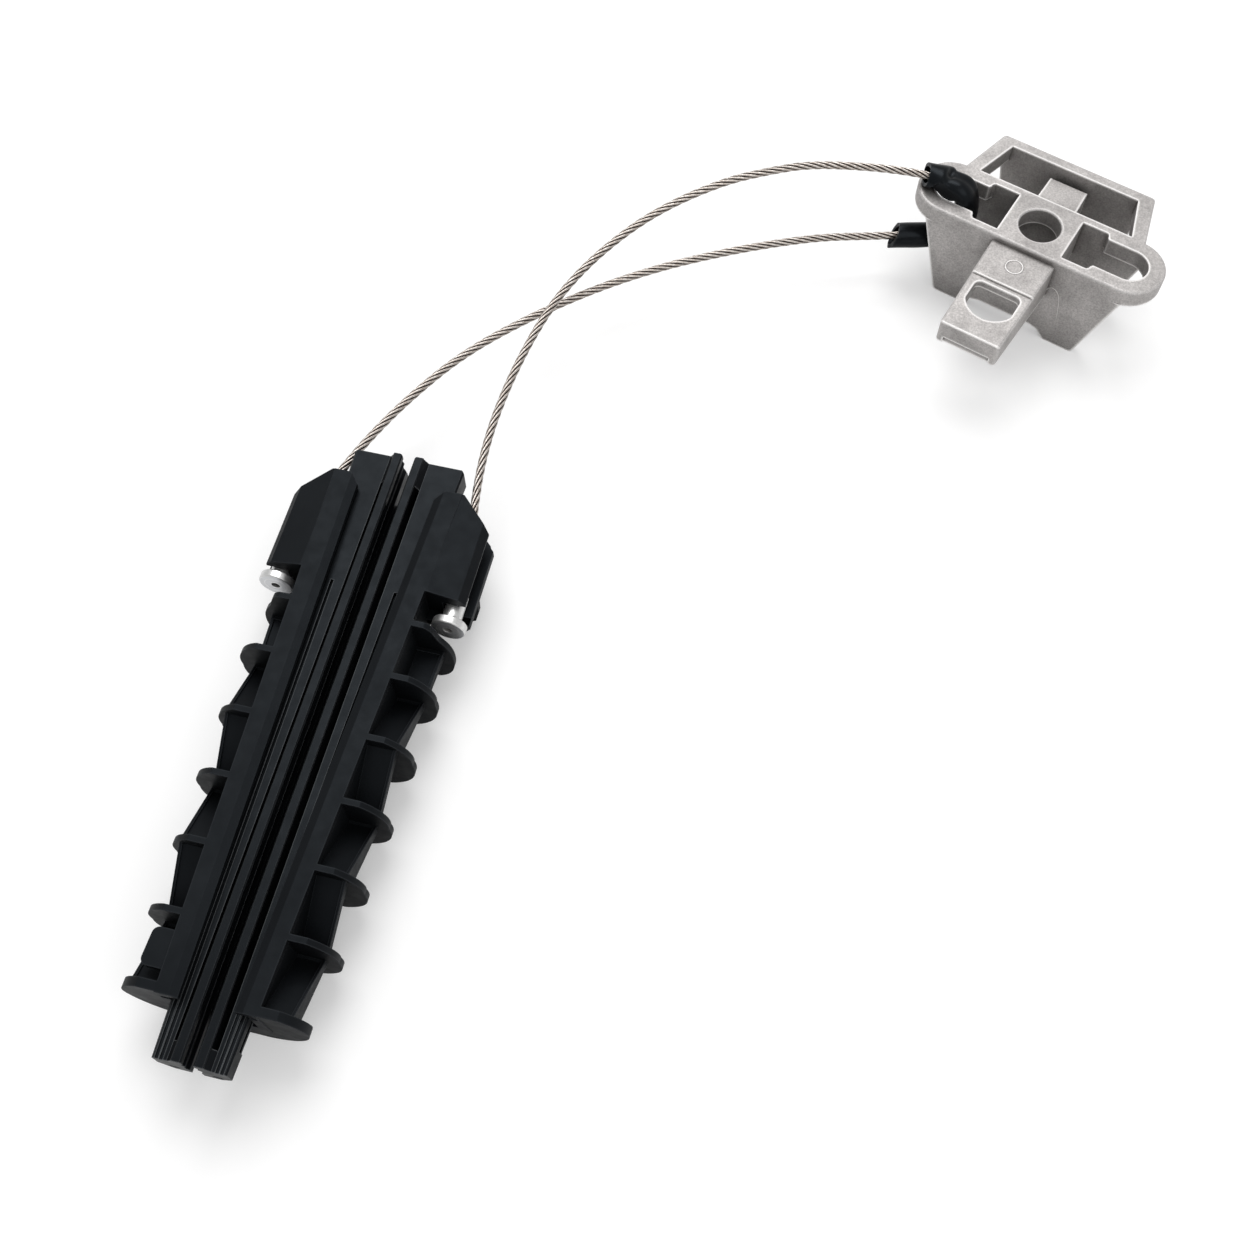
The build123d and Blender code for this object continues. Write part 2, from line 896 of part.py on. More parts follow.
def rear_frame():
    """Trapezoid frame behind the plate, with its rear wall down to the feet."""
    outer = prism(
        [
            (-frame_root_half, plate_half_width - 2.0),
            (frame_root_half, plate_half_width - 2.0),
            (frame_back_half, frame_back_y),
            (-frame_back_half, frame_back_y),
        ],
        plate_top - plate_thickness,
        plate_top,
    )
    back_corners = outer.edges().filter_by(Axis.Z).sort_by(Axis.Y)[-2:]
    outer = fillet(back_corners, frame_corner_round)
    outer = fillet(outer.edges().group_by(Axis.Z)[-1].sort_by(Axis.Y)[1:], frame_edge_round)
    window = prism(
        [
            (-frame_window_root, plate_half_width),
            (frame_window_root, plate_half_width),
            (frame_window_back, frame_back_y - frame_wall),
            (-frame_window_back, frame_back_y - frame_wall),
        ],
        0.0,
        plate_top + 1.0,
    )
    wall = make_face(
        Polyline(
            (-rear_wall_top_half, plate_top - 2.0),
            (rear_wall_top_half, plate_top - 2.0),
            (rear_wall_foot_half, 0.0),
            (-rear_wall_foot_half, 0.0),
            close=True,
        )
    )
    return outer + across(wall, frame_back_y, frame_wall) - window


def arm_section(y, half, bottom, top):
    """Section of the front arm: a channel open below."""
    shell = arm_shell
    edge = arm_edge_round
    points = [
        (-half, bottom),
        (-half + shell * 0.7, bottom),
        (-half + shell, top - shell),
        (half - shell, top - shell),
        (half - shell * 0.7, bottom),
        (half, bottom),
        (half, top - edge),
        (half - edge * 0.3, top - edge * 0.3),
        (half - edge, top),
        (-half + edge, top),
        (-half + edge * 0.3, top - edge * 0.3),
        (-half, top - edge),
    ]
    return section_at(y, points)


def arm_corner():
    """What is cut away to round one corner of the arm's end."""
    radius = arm_corner_round
    square = prism(
        [
            (arm_half_end - radius, arm_end_y - 1.0),
            (arm_half_end + 1.0, arm_end_y - 1.0),
            (arm_half_end + 1.0, arm_end_y + radius),
            (arm_half_end - radius, arm_end_y + radius),
        ],
        arm_end_bottom - 1.0,
        arm_top + 1.0,
    )
    post = Pos(arm_half_end - radius, arm_end_y + radius, arm_end_bottom - 2.0) * Cylinder(
        radius, plate_top, align=(Align.CENTER, Align.CENTER, Align.MIN)
    )
    return square - post


def front_arm():
    """Arm that stands out from the front wall, with its rounded square hole."""
    root_y = -plate_half_width + 1.0
    step_half = along(arm_step_y, root_y, arm_end_y, arm_half_root, arm_half_end)
    step_bottom = along(arm_step_y, root_y, arm_end_y, arm_root_bottom, arm_end_bottom)
    root = loft(
        [
            arm_section(root_y, arm_half_root, arm_root_bottom, arm_top),
            arm_section(arm_step_y, step_half, step_bottom, arm_top),
        ],
        ruled=True,
    )
    lower_top = arm_top - arm_step_drop
    end = loft(
        [
            arm_section(arm_step_y, step_half, step_bottom, lower_top),
            arm_section(arm_end_y, arm_half_end, arm_end_bottom, lower_top),
        ],
        ruled=True,
    )
    end_wall = prism(
        [
            (-arm_half_end + 0.5, arm_end_y),
            (arm_half_end - 0.5, arm_end_y),
            (arm_half_end - 0.5, arm_end_y + arm_shell),
            (-arm_half_end + 0.5, arm_end_y + arm_shell),
        ],
        arm_end_bottom,
        lower_top - 1.0,
    )
    hole_outline = make_face(
        [
            Line((-arm_hole_half, arm_hole_straight_y), (-arm_hole_half, arm_hole_back_y)),
            Line((-arm_hole_half, arm_hole_back_y), (arm_hole_half, arm_hole_back_y)),
            Line((arm_hole_half, arm_hole_back_y), (arm_hole_half, arm_hole_straight_y)),
            ThreePointArc(
                (arm_hole_half, arm_hole_straight_y),
                (0.0, arm_hole_front_y),
                (-arm_hole_half, arm_hole_straight_y),
            ),
        ]
    )
    hole = extrude(hole_outline, amount=plate_top, dir=(0, 0, 1))
    hole = fillet(hole.edges().filter_by(Axis.Z).sort_by(Axis.Y)[-2:], arm_hole_corner)
    groove = prism(
        [
            (-arm_groove_half, arm_end_y - 1.0),
            (arm_groove_half, arm_end_y - 1.0),
            (arm_groove_half, arm_end_y + arm_groove_depth),
            (-arm_groove_half, arm_end_y + arm_groove_depth),
        ],
        arm_end_bottom - 1.0,
        arm_end_bottom + 3.6,
    )
    ring = Pos(0, ring_mark_y, arm_top - 0.1) * (
        Cylinder(ring_mark_radius, ring_mark_height + 0.1, align=(Align.CENTER, Align.CENTER, Align.MIN))
        - Cylinder(
            ring_mark_radius - ring_mark_width,
            ring_mark_height + 0.1,
            align=(Align.CENTER, Align.CENTER, Align.MIN),
        )
    )
    arm = root + end + end_wall
    for side in (-1, 1):
        arm -= on_side(arm_corner(), side)
    return arm + ring - hole - groove


def bracket():
    """One-piece cast bracket, in its own frame."""
    plate = extrude(plate_outline(), amount=plate_thickness, dir=(0, 0, 1))
    plate = Pos(0, 0, plate_top - plate_thickness) * plate
    plate = fillet(plate.edges().group_by(Axis.Z)[-1], plate_edge_round)
    walls = long_wall(-plate_half_width, -plate_half_width + wall_thickness, True)
    walls += long_wall(plate_half_width - wall_thickness, plate_half_width, False)
    cross_inner = cross_wall_half - wall_thickness
    cross_y = plate_half_width - 1.0
    for side in (-1, 1):
        walls += prism(
            [
                (side * cross_inner, -cross_y),
                (side * cross_wall_half, -cross_y),
                (side * cross_wall_half, cross_y),
                (side * cross_inner, cross_y),
            ],
            plate_top - cross_wall_depth,
            plate_top - plate_thickness + 0.5,
        )
    rear_block = prism(
        [
            (-block_half, plate_half_width - 2.0),
            (block_half, plate_half_width - 2.0),
            (block_half * 0.94, block_end_y),
            (-block_half * 0.94, block_end_y),
        ],
        block_bottom,
        block_top,
    )
    rear_block = fillet(rear_block.edges().filter_by(Axis.X).sort_by(Axis.Z)[-1], 1.2)
    body = plate + walls + rear_frame()
    for side in (-1, 1):
        cut = Pos(0, 0, plate_top - plate_thickness - 1.0) * extrude(
            ear_slot(side), amount=plate_thickness + 2.0, dir=(0, 0, 1)
        )
        body -= cut
    body += rear_block + front_arm()
    bore = Pos(0, 0, plate_top - plate_thickness - 1.0) * Cylinder(
        bore_diameter / 2,
        plate_thickness + 2.0,
        align=(Align.CENTER, Align.CENTER, Align.MIN),
    )
    lead = Pos(0, 0, plate_top - bore_edge_chamfer) * Cone(
        bore_diameter / 2,
        bore_diameter / 2 + bore_edge_chamfer * 2,
        bore_edge_chamfer * 2,
        align=(Align.CENTER, Align.CENTER, Align.MIN),
    )
    return body - bore - lead


def main():
    """Build every piece, set the origin, and write one file for each."""
    os.makedirs("parts", exist_ok=True)
    pieces = {
        "clamp_body": clamp_body(),
        "wedge_left": wedge(-1),
        "wedge_right": wedge(1),
        "ferrule_left": ferrule(-1, ferrule_head_y_left),
        "ferrule_right": ferrule(1, ferrule_head_y_right),
        "bracket": bracket_place() * bracket(),
        "bail_rope": rope(),
        "rope_sleeve": sleeve(),
    }
    standing = Compound([pieces[name] for name in ("clamp_body", "wedge_left", "wedge_right", "bracket")])
    box = standing.bounding_box()
    middle = box.center()
    print("origin in the clamp's frame", round(middle.X, 3), round(middle.Y, 3), round(box.min.Z, 3))
    move = Pos(-middle.X, -middle.Y, -box.min.Z)
    for name, piece in pieces.items():
        placed = move * piece
        solids = placed.solids()
        shape = solids[0] if len(solids) == 1 else Compound(solids)
        export_step(shape, f"parts/{name}.step")
        print(name, len(solids), round(placed.volume))


main()
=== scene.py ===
"""Looks of the anchor clamp: nylon body and wedges, wire rope bail, sleeve, ferrules and cast bracket."""

import json
import logging
import math
from dataclasses import dataclass, field
from enum import Enum

import bmesh
import bpy
from mathutils import Matrix, Vector, noise

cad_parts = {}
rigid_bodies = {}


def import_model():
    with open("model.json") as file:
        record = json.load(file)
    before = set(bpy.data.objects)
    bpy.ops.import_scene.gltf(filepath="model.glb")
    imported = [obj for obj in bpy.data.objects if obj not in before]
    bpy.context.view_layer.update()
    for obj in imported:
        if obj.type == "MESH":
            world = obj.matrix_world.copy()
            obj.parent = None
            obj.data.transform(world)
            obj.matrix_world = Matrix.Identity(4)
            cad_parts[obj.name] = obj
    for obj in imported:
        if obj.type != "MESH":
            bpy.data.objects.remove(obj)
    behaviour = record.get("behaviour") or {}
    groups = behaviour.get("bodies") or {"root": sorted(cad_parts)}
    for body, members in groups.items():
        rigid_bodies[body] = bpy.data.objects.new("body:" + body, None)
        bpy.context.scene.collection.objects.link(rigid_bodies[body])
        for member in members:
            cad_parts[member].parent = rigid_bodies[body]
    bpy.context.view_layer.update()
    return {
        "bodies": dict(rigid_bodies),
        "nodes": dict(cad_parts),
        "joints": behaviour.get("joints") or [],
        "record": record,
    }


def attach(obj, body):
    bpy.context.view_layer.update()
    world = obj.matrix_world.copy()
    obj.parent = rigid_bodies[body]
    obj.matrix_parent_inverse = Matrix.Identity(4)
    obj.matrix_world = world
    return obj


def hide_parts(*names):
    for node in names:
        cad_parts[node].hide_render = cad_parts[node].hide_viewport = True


Point = tuple[float, float, float]
Colour = tuple[float, float, float]
Band = tuple[float, float]
Socket = bpy.types.NodeSocket
Tone = Socket | Colour
Station = tuple[Vector, tuple[Vector, Vector, Vector], float]

MM = 0.001
WHITE = (1.0, 1.0, 1.0)
log = logging.getLogger("anchor_clamp")


class Side(Enum):
    """The two sides of the clamp."""

    LEFT = "left"
    RIGHT = "right"


class Body(Enum):
    """The rigid bodies of the frame that pieces ride on."""

    CLAMP = "clamp"
    LEFT_WEDGE = "left_wedge"
    RIGHT_WEDGE = "right_wedge"
    BAIL = "bail"
    BRACKET = "pole_bracket"


# Places in metres of the clamp's own frame and the bracket's own frame in the row frame
CLAMP_ORIGIN = Vector((-0.14114, -0.095948, 0.0))
BRACKET_PLACE = Vector((0.2674, 0.3069, 0.0))
BRACKET_YAW = math.radians(-19.0)

# Route of the rope: the legs in the clamp's own frame, the loop in the bracket's
LEG_LEFT = (
    (-0.0408, 0.0365, 0.0335),
    (-0.0408, 0.0680, 0.0335),
    (-0.0316, 0.1010, 0.0334),
    (-0.0244, 0.1240, 0.0323),
    (-0.0142, 0.1505, 0.0300),
    (0.0020, 0.1813, 0.0284),
    (0.0252, 0.2090, 0.0280),
    (0.0542, 0.2366, 0.0279),
    (0.0845, 0.2590, 0.0281),
    (0.1152, 0.2771, 0.0278),
    (0.1405, 0.2896, 0.0277),
    (0.1634, 0.2993, 0.0275),
)
LOOP = (
    (-0.0755, -0.0270, 0.0272),
    (-0.0620, -0.0170, 0.0268),
    (-0.0550, -0.0110, 0.0255),
    (-0.0480, -0.0052, 0.0250),
    (-0.0400, -0.0020, 0.0290),
    (-0.0382, -0.0018, 0.0400),
    (-0.0378, -0.0018, 0.0500),
    (-0.0410, -0.0020, 0.0580),
    (-0.0490, -0.0028, 0.0584),
    (-0.0580, -0.0040, 0.0588),
    (-0.0705, -0.0080, 0.0592),
    (-0.0900, -0.0160, 0.0588),
)
LEG_RIGHT = (
    (0.0408, 0.0325, 0.0335),
    (0.0408, 0.0620, 0.0335),
    (0.0336, 0.0980, 0.0336),
    (0.0303, 0.1240, 0.0337),
    (0.0300, 0.1510, 0.0344),
    (0.0330, 0.1830, 0.0357),
    (0.0402, 0.2180, 0.0377),
    (0.0546, 0.2500, 0.0404),
    (0.0766, 0.2795, 0.0446),
    (0.1064, 0.3022, 0.0500),
    (0.1296, 0.3120, 0.0537),
    (0.1492, 0.3176, 0.0572),
)

# The arch on the bracket's front wall, as x and z in the bracket's own frame
ARCH_POINTS = (
    (0.0163, 0.0241),
    (0.0163, 0.0287),
    (0.0167, 0.0334),
    (0.0176, 0.0359),
    (0.0189, 0.0370),
    (0.0210, 0.0367),
    (0.0226, 0.0354),
    (0.0241, 0.0330),
    (0.0251, 0.0286),
    (0.0260, 0.0234),
    (0.0268, 0.0182),
    (0.0272, 0.0154),
)

# Inner openness at outer edges, rays for each place, and the sockets of Blender's mix node
EDGE_BAND = (0.88, 0.56)
OPENNESS_RAYS = 6
ROUNDING_RAYS = 4
MIX_INPUTS = (0, 6, 7)
MIX_RESULT = 2

# Limits in the geometry of lines
SHORTEST_SPAN = 1e-12
UPRIGHT_SHARE = 0.9


def bracket_to_row(point: Point) -> Vector:
    """Move a point of the bracket's own frame into the row frame."""
    turned = Matrix.Rotation(BRACKET_YAW, 3, "Z") @ Vector(point)
    return turned + BRACKET_PLACE + CLAMP_ORIGIN


def row_to_bracket(place: Vector) -> Vector:
    """Move a place of the row frame into the bracket's own frame."""
    return Matrix.Rotation(-BRACKET_YAW, 3, "Z") @ (place - BRACKET_PLACE - CLAMP_ORIGIN)


def clamp_to_row(point: Point) -> Vector:
    """Move a point of the clamp's own frame into the row frame."""
    return Vector(point) + CLAMP_ORIGIN


@dataclass(frozen=True)
class Grain:
    """Noise over a surface: its scale per metre, its octaves and their roughness."""

    scale: float
    octaves: float = 4.0
    rough: float = 0.55


@dataclass(frozen=True)
class Relief:
    """One layer of small unevenness: its grain, its depth in metres and its strength."""

    grain: Grain
    depth: float
    strength: float


Skin = tuple[Relief, ...]


def grey(tone: float) -> Colour:
    """Give the grey of a tone."""
    return (tone, tone, tone)


class Shader:
    """Small helper that builds one node material."""

    def __init__(self, name: str) -> None:
        """Start a material with an empty Principled shader.

        Args:
            name: Name of the material.
        """
        self.material = bpy.data.materials.new(name)
        self.material.use_nodes = True
        self.tree = self.material.node_tree
        self.principled = self.tree.nodes["Principled BSDF"]

    def node(
        self, kind: str, numbers: dict[str, float] | None = None, **properties: object
    ) -> bpy.types.Node:
        """Add a node and set its input numbers and properties.

        Args:
            kind: Blender's node type.
            numbers: Names of inputs with their numbers.
            **properties: Names of properties with their values.

        Returns:
            The new node.
        """
        made = self.tree.nodes.new(kind)
        for name, value in properties.items():
            setattr(made, name, value)
        for name, number in (numbers or {}).items():
            made.inputs[name].default_value = number
        return made

    def link(self, source: Socket, target: Socket) -> None:
        """Join an output socket to an input socket."""
        self.tree.links.new(source, target)

    def feed(self, target: Socket, value: Tone | float) -> None:
        """Join a socket to an input, or give the input a number or a colour.

        Args:
            target: Input socket.
            value: Output socket, number or colour.
        """
        if isinstance(value, Socket):
            self.link(value, target)
        elif isinstance(value, float):
            target.default_value = value
        else:
            target.default_value = (*value, 1.0)

    def place(self) -> Socket:
        """Give the object-space position, which textures follow."""
        return self.node("ShaderNodeTexCoord").outputs["Object"]

    def grain(self, grain: Grain) -> Socket:
        """Add a noise texture in object space.

        Args:
            grain: How fine and how rough the noise is.

        Returns:
            The factor output of the noise.
        """
        numbers = {"Scale": grain.scale, "Detail": grain.octaves, "Roughness": grain.rough}
        texture = self.node("ShaderNodeTexNoise", numbers)
        self.link(self.place(), texture.inputs["Vector"])
        return texture.outputs["Fac"]

    def ramp(self, source: Socket, places: tuple[float, ...], colours: tuple[Colour, ...]) -> Socket:
        """Map a value to colours.

        Args:
            source: Value socket to map.
            places: Values of the colours, from low to high.
            colours: One colour for each place.

        Returns:
            The colour output.
        """
        made = self.node("ShaderNodeValToRGB")
        ramp = made.color_ramp
        while len(ramp.elements) < len(places):
            ramp.elements.new(0.5)
        for element, place, colour in zip(ramp.elements, places, colours):
            element.position = place
            element.color = (*colour, 1.0)
        self.link(source, made.inputs["Fac"])
        return made.outputs["Color"]

    def relief(self, layers: Skin, normal: Socket | None = None) -> Socket:
        """Lay layers of small unevenness over a surface.

        Args:
            layers: Layers, the lowest first.
            normal: Normal of the surface below them.

        Returns:
            The normal output.
        """
        for layer in layers:
            made = self.node("ShaderNodeBump", {"Distance": layer.depth, "Strength": layer.strength})
            self.link(self.grain(layer.grain), made.inputs["Height"])
            if normal is not None:
                self.link(normal, made.inputs["Normal"])
            normal = made.outputs["Normal"]
        return normal

    def spread(self, source: Socket, band: Band) -> Socket:
        """Stretch a value so that the band's first number becomes 0 and its second 1.

        Args:
            source: Value socket.
            band: Values that become 0 and 1.

        Returns:
            The stretched value, kept between 0 and 1.
        """
        low, high = band
        made = self.node("ShaderNodeMapRange", {"From Min": low, "From Max": high})
        self.link(source, made.inputs["Value"])
        return made.outputs["Result"]

    def openness(self, distance: float, inside: bool = False, rays: int = OPENNESS_RAYS) -> Socket:
        """Tell how open the surroundings of a place are.

        Args:
            distance: How far the surroundings reach, in metres.
            inside: Whether to look into the solid instead.
            rays: Rays for each place.

        Returns:
            Value from 0 where all is covered to 1 where nothing is near.
        """
        properties = {"samples": rays, "inside": inside, "only_local": inside}
        return self.node("ShaderNodeAmbientOcclusion", {"Distance": distance}, **properties).outputs["AO"]

    def edges(self, distance: float, band: Band = EDGE_BAND) -> Socket:
        """Find the outer edges, where wear and painted highlights are laid.

        Args:
            distance: Width of the strip along an edge, in metres.
            band: Inner openness where the strip starts and where it is full.

        Returns:
            Value from 0 on flats to 1 on outer edges.
        """
        return self.spread(self.openness(distance, inside=True), band)

    def rounding(self, radius: float) -> Socket:
        """Give a normal that turns softly over edges, with a round of this radius in metres."""
        made = self.node("ShaderNodeBevel", {"Radius": radius}, samples=ROUNDING_RAYS)
        return made.outputs["Normal"]

    def mix(self, factor: Socket | float, first: Tone, second: Tone, blend: str = "MIX") -> Socket:
        """Mix two colours or colour sockets.

        Args:
            factor: Share of the second colour.
            first: Colour or socket at 0.
            second: Colour or socket at 1.
            blend: Blender's name of the kind.

        Returns:
            The mixed colour.
        """
        made = self.node("ShaderNodeMix", data_type="RGBA", blend_type=blend)
        for index, value in zip(MIX_INPUTS, (factor, first, second)):
            self.feed(made.inputs[index], value)
        return made.outputs[MIX_RESULT]

    def product(self, first: Tone, second: Tone) -> Socket:
        """Multiply two colours or colour sockets."""
        return self.mix(1.0, first, second, "MULTIPLY")

    def finish(
        self,
        colour: Tone,
        roughness: Socket | float,
        normal: Socket | None = None,
        metallic: float = 0.0,
        specular: float = 0.5,
        gloss_tint: Colour = WHITE,
    ) -> bpy.types.Material:
        """Set the shader's main sockets.

        Args:
            colour: Base colour or socket.
            roughness: Roughness number or socket.
            normal: Normal socket.
            metallic: Metallic share.
            specular: Specular level.
            gloss_tint: Colour of the gloss.

        Returns:
            The finished material.
        """
        inputs = self.principled.inputs
        self.feed(inputs["Base Color"], colour)
        self.feed(inputs["Roughness"], roughness)
        inputs["Metallic"].default_value = metallic
        inputs["Specular IOR Level"].default_value = specular
        inputs["Specular Tint"].default_value = (*gloss_tint, 1.0)
        if normal is not None:
            self.link(normal, inputs["Normal"])
        return self.material


@dataclass(frozen=True)
class MouldedNylon:
    """Black glass-filled nylon with a satin moulded skin, its edges lighter from wear and from a painted
    highlight.
    """

    name: str = "moulded_nylon"
    base: Colour = (0.0023, 0.0026, 0.0031)
    light: Colour = (0.0048, 0.0053, 0.0061)
    # Lighter colour of the outer edges: partly rubbed wear, partly a painted highlight
    edge: Colour = (0.022, 0.024, 0.027)
    clouds: Grain = Grain(28.0)
    cloud_band: Band = (0.35, 0.7)
    edge_width: float = 0.0006
    round_size: float = 0.0005
    rubbing: Grain = Grain(160.0)
    rubbing_band: Band = (0.3, 0.7)
    smooth: float = 0.44
    rough: float = 0.56
    skin: Skin = (Relief(Grain(1400.0, 3.0), 0.00006, 0.3), Relief(Grain(90.0, 2.0), 0.0002, 0.2))
    specular: float = 0.145
    gloss: Colour = (0.78, 0.89, 1.0)

    def material(self) -> bpy.types.Material:
        """Build the material.

        Returns:
            The finished material.
        """
        shader = Shader(self.name)
        clouds = shader.ramp(shader.grain(self.clouds), self.cloud_band, (self.base, self.light))
        # Outer edges take the edge colour: rubbed wear and a painted highlight
        colour = shader.mix(shader.edges(self.edge_width), clouds, self.edge)
        tones = (grey(self.smooth), grey(self.rough))
        roughness = shader.ramp(shader.grain(self.rubbing), self.rubbing_band, tones)
        normal = shader.relief(self.skin, shader.rounding(self.round_size))
        return shader.finish(colour, roughness, normal, specular=self.specular, gloss_tint=self.gloss)


@dataclass(frozen=True)
class CastAluminium:
    """Tumbled die-cast aluminium: warm grey, finely speckled, with painted highlights on its rims and
    painted shade in its recesses and creases.
    """

    name: str = "cast_aluminium"
    base: Colour = (0.525, 0.502, 0.490)
    dark: Colour = (0.395, 0.376, 0.367)
    # Painted highlight laid on the casting's rims
    rim_highlight: Colour = (0.96, 0.94, 0.925)
    clouds: Grain = Grain(60.0, 6.0, 0.65)
    cloud_band: Band = (0.34, 0.60)
    specks: Grain = Grain(1100.0, 5.0, 0.7)
    speck_band: Band = (0.38, 0.62)
    speck_tones: tuple[Colour, Colour] = (grey(0.74), grey(1.12))
    # Painted shade in the recesses and creases, darker where the surroundings are close
    recess_shade: Colour = (0.36, 0.355, 0.35)
    recess_reach: float = 0.026
    recess_band: Band = (0.22, 0.88)
    crease_shade: Colour = (0.46, 0.44, 0.43)
    crease_reach: float = 0.0022
    crease_band: Band = (0.52, 0.88)
    edge_width: float = 0.0013
    edge_band: Band = (0.94, 0.67)
    round_size: float = 0.0010
    tumbling: Grain = Grain(300.0)
    tumbling_band: Band = (0.3, 0.7)
    roughness: tuple[Colour, Colour] = (grey(0.42), grey(0.6))
    skin: Skin = (Relief(Grain(1100.0, 5.0, 0.6), 0.00010, 0.5), Relief(Grain(120.0, 3.0), 0.0004, 0.3))
    metallic: float = 0.5

    def shade(self, shader: Shader) -> Socket:
        """Paint shade into the casting's recesses and its creases, where the surroundings close in.

        Args:
            shader: Shader that gets the nodes.

        Returns:
            Colour to multiply the metal's own colour by.
        """
        depth = shader.ramp(shader.openness(self.recess_reach), self.recess_band, (self.recess_shade, WHITE))
        creases = shader.ramp(shader.openness(self.crease_reach), self.crease_band, (self.crease_shade, WHITE))
        return shader.product(depth, creases)

    def material(self) -> bpy.types.Material:
        """Build the material.

        Returns:
            The finished material.
        """
        shader = Shader(self.name)
        clouds = shader.ramp(shader.grain(self.clouds), self.cloud_band, (self.dark, self.base))
        specks = shader.ramp(shader.grain(self.specks), self.speck_band, self.speck_tones)
        # The metal's colour times the painted shade of recesses and creases
        metal = shader.product(shader.product(clouds, specks), self.shade(shader))
        # Outer edges take the painted rim highlight
        colour = shader.mix(shader.edges(self.edge_width, self.edge_band), metal, self.rim_highlight)
        roughness = shader.ramp(shader.grain(self.tumbling), self.tumbling_band, self.roughness)
        normal = shader.relief(self.skin, shader.rounding(self.round_size))
        return shader.finish(colour, roughness, normal, metallic=self.metallic)


@dataclass(frozen=True)
class TurnedSteel:
    """Bright turned steel of one ferrule, duller and ringed on its end faces, with painted shade in its
    bore and creases.
    """

    name: str
    centre_x: float
    centre_z: float
    head_radius: float = 0.0079
    base: Colour = (0.86, 0.86, 0.855)
    worn: Colour = (0.70, 0.70, 0.695)
    wear: Grain = Grain(900.0)
    wear_band: Band = (0.3, 0.7)
    face: Colour = (0.80, 0.81, 0.83)
    ring: Colour = (0.98, 0.98, 0.98)
    ring_places: tuple[float, ...] = (0.30, 0.36, 0.60, 0.66, 0.70)
    end_face_band: Band = (0.85, 0.97)
    # Painted shade in the bore and in creases such as the shoulder
    hollow_shade: Colour = (0.03, 0.03, 0.03)
    bore_reach: float = 0.0022
    bore_band: Band = (0.25, 0.75)
    round_size: float = 0.0004
    skin: Skin = (Relief(Grain(1500.0, 3.0), 0.00004, 0.3),)
    roughness: float = 0.32
    metallic: float = 0.9

    def off_axis(self, shader: Shader) -> Socket:
        """Tell how far a place is from the ferrule's axis.

        Args:
            shader: Shader that gets the nodes.

        Returns:
            Value from 0 on the axis to 1 at the head's edge.
        """
        across = shader.node("ShaderNodeVectorMath", operation="SUBTRACT")
        across.inputs[1].default_value = (self.centre_x, 0.0, self.centre_z)
        shader.link(shader.place(), across.inputs[0])
        flat = shader.node("ShaderNodeVectorMath", operation="MULTIPLY")
        flat.inputs[1].default_value = (1.0, 0.0, 1.0)
        shader.link(across.outputs["Vector"], flat.inputs[0])
        reach = shader.node("ShaderNodeVectorMath", operation="LENGTH")
        shader.link(flat.outputs["Vector"], reach.inputs[0])
        return shader.spread(reach.outputs["Value"], (0.0, self.head_radius))

    def on_end_face(self, shader: Shader) -> Socket:
        """Tell whether a place faces along the ferrule.

        Args:
            shader: Shader that gets the nodes.

        Returns:
            Value from 0 on the barrel to 1 on an end face.
        """
        surface = shader.node("ShaderNodeNewGeometry")
        parts = shader.node("ShaderNodeSeparateXYZ")
        shader.link(surface.outputs["Normal"], parts.inputs[0])
        along = shader.node("ShaderNodeMath", operation="ABSOLUTE")
        shader.link(parts.outputs["Y"], along.inputs[0])
        return shader.spread(along.outputs[0], self.end_face_band)

    def material(self) -> bpy.types.Material:
        """Build the material.

        Returns:
            The finished material.
        """
        shader = Shader(self.name)
        barrel = shader.ramp(shader.grain(self.wear), self.wear_band, (self.worn, self.base))
        tones = (self.ring, self.face, self.face, self.ring, self.face)
        rings = shader.ramp(self.off_axis(shader), self.ring_places, tones)
        colour = shader.mix(self.on_end_face(shader), barrel, rings)
        # Places with close surroundings take the painted shade
        lit = shader.spread(shader.openness(self.bore_reach), self.bore_band)
        colour = shader.mix(lit, self.hollow_shade, colour)
        normal = shader.relief(self.skin, shader.rounding(self.round_size))
        return shader.finish(colour, self.roughness, normal, metallic=self.metallic)


@dataclass(frozen=True)
class StrandSteel:
    """Drawn stainless wire of the rope, warm grey, with painted shade between the strands."""

    name: str = "strand_steel"
    base: Colour = (0.80, 0.755, 0.715)
    worn: Colour = (0.46, 0.395, 0.345)
    wear: Grain = Grain(700.0)
    wear_band: Band = (0.34, 0.72)
    # Painted shade between the strands, where their surroundings are close
    dark: Colour = (0.020, 0.009, 0.005)
    gap_reach: float = 0.0018
    gap_rays: int = 12
    gap_band: Band = (0.74, 0.99)
    skin: Skin = (Relief(Grain(2500.0, 2.0), 0.00005, 0.4),)
    roughness: float = 0.34
    metallic: float = 0.8

    def material(self) -> bpy.types.Material:
        """Build the material.

        Returns:
            The finished material.
        """
        shader = Shader(self.name)
        wire = shader.ramp(shader.grain(self.wear), self.wear_band, (self.worn, self.base))
        # The gaps between strands take the painted shade
        lit = shader.spread(shader.openness(self.gap_reach, rays=self.gap_rays), self.gap_band)
        colour = shader.mix(lit, self.dark, wire)
        return shader.finish(colour, self.roughness, shader.relief(self.skin), metallic=self.metallic)


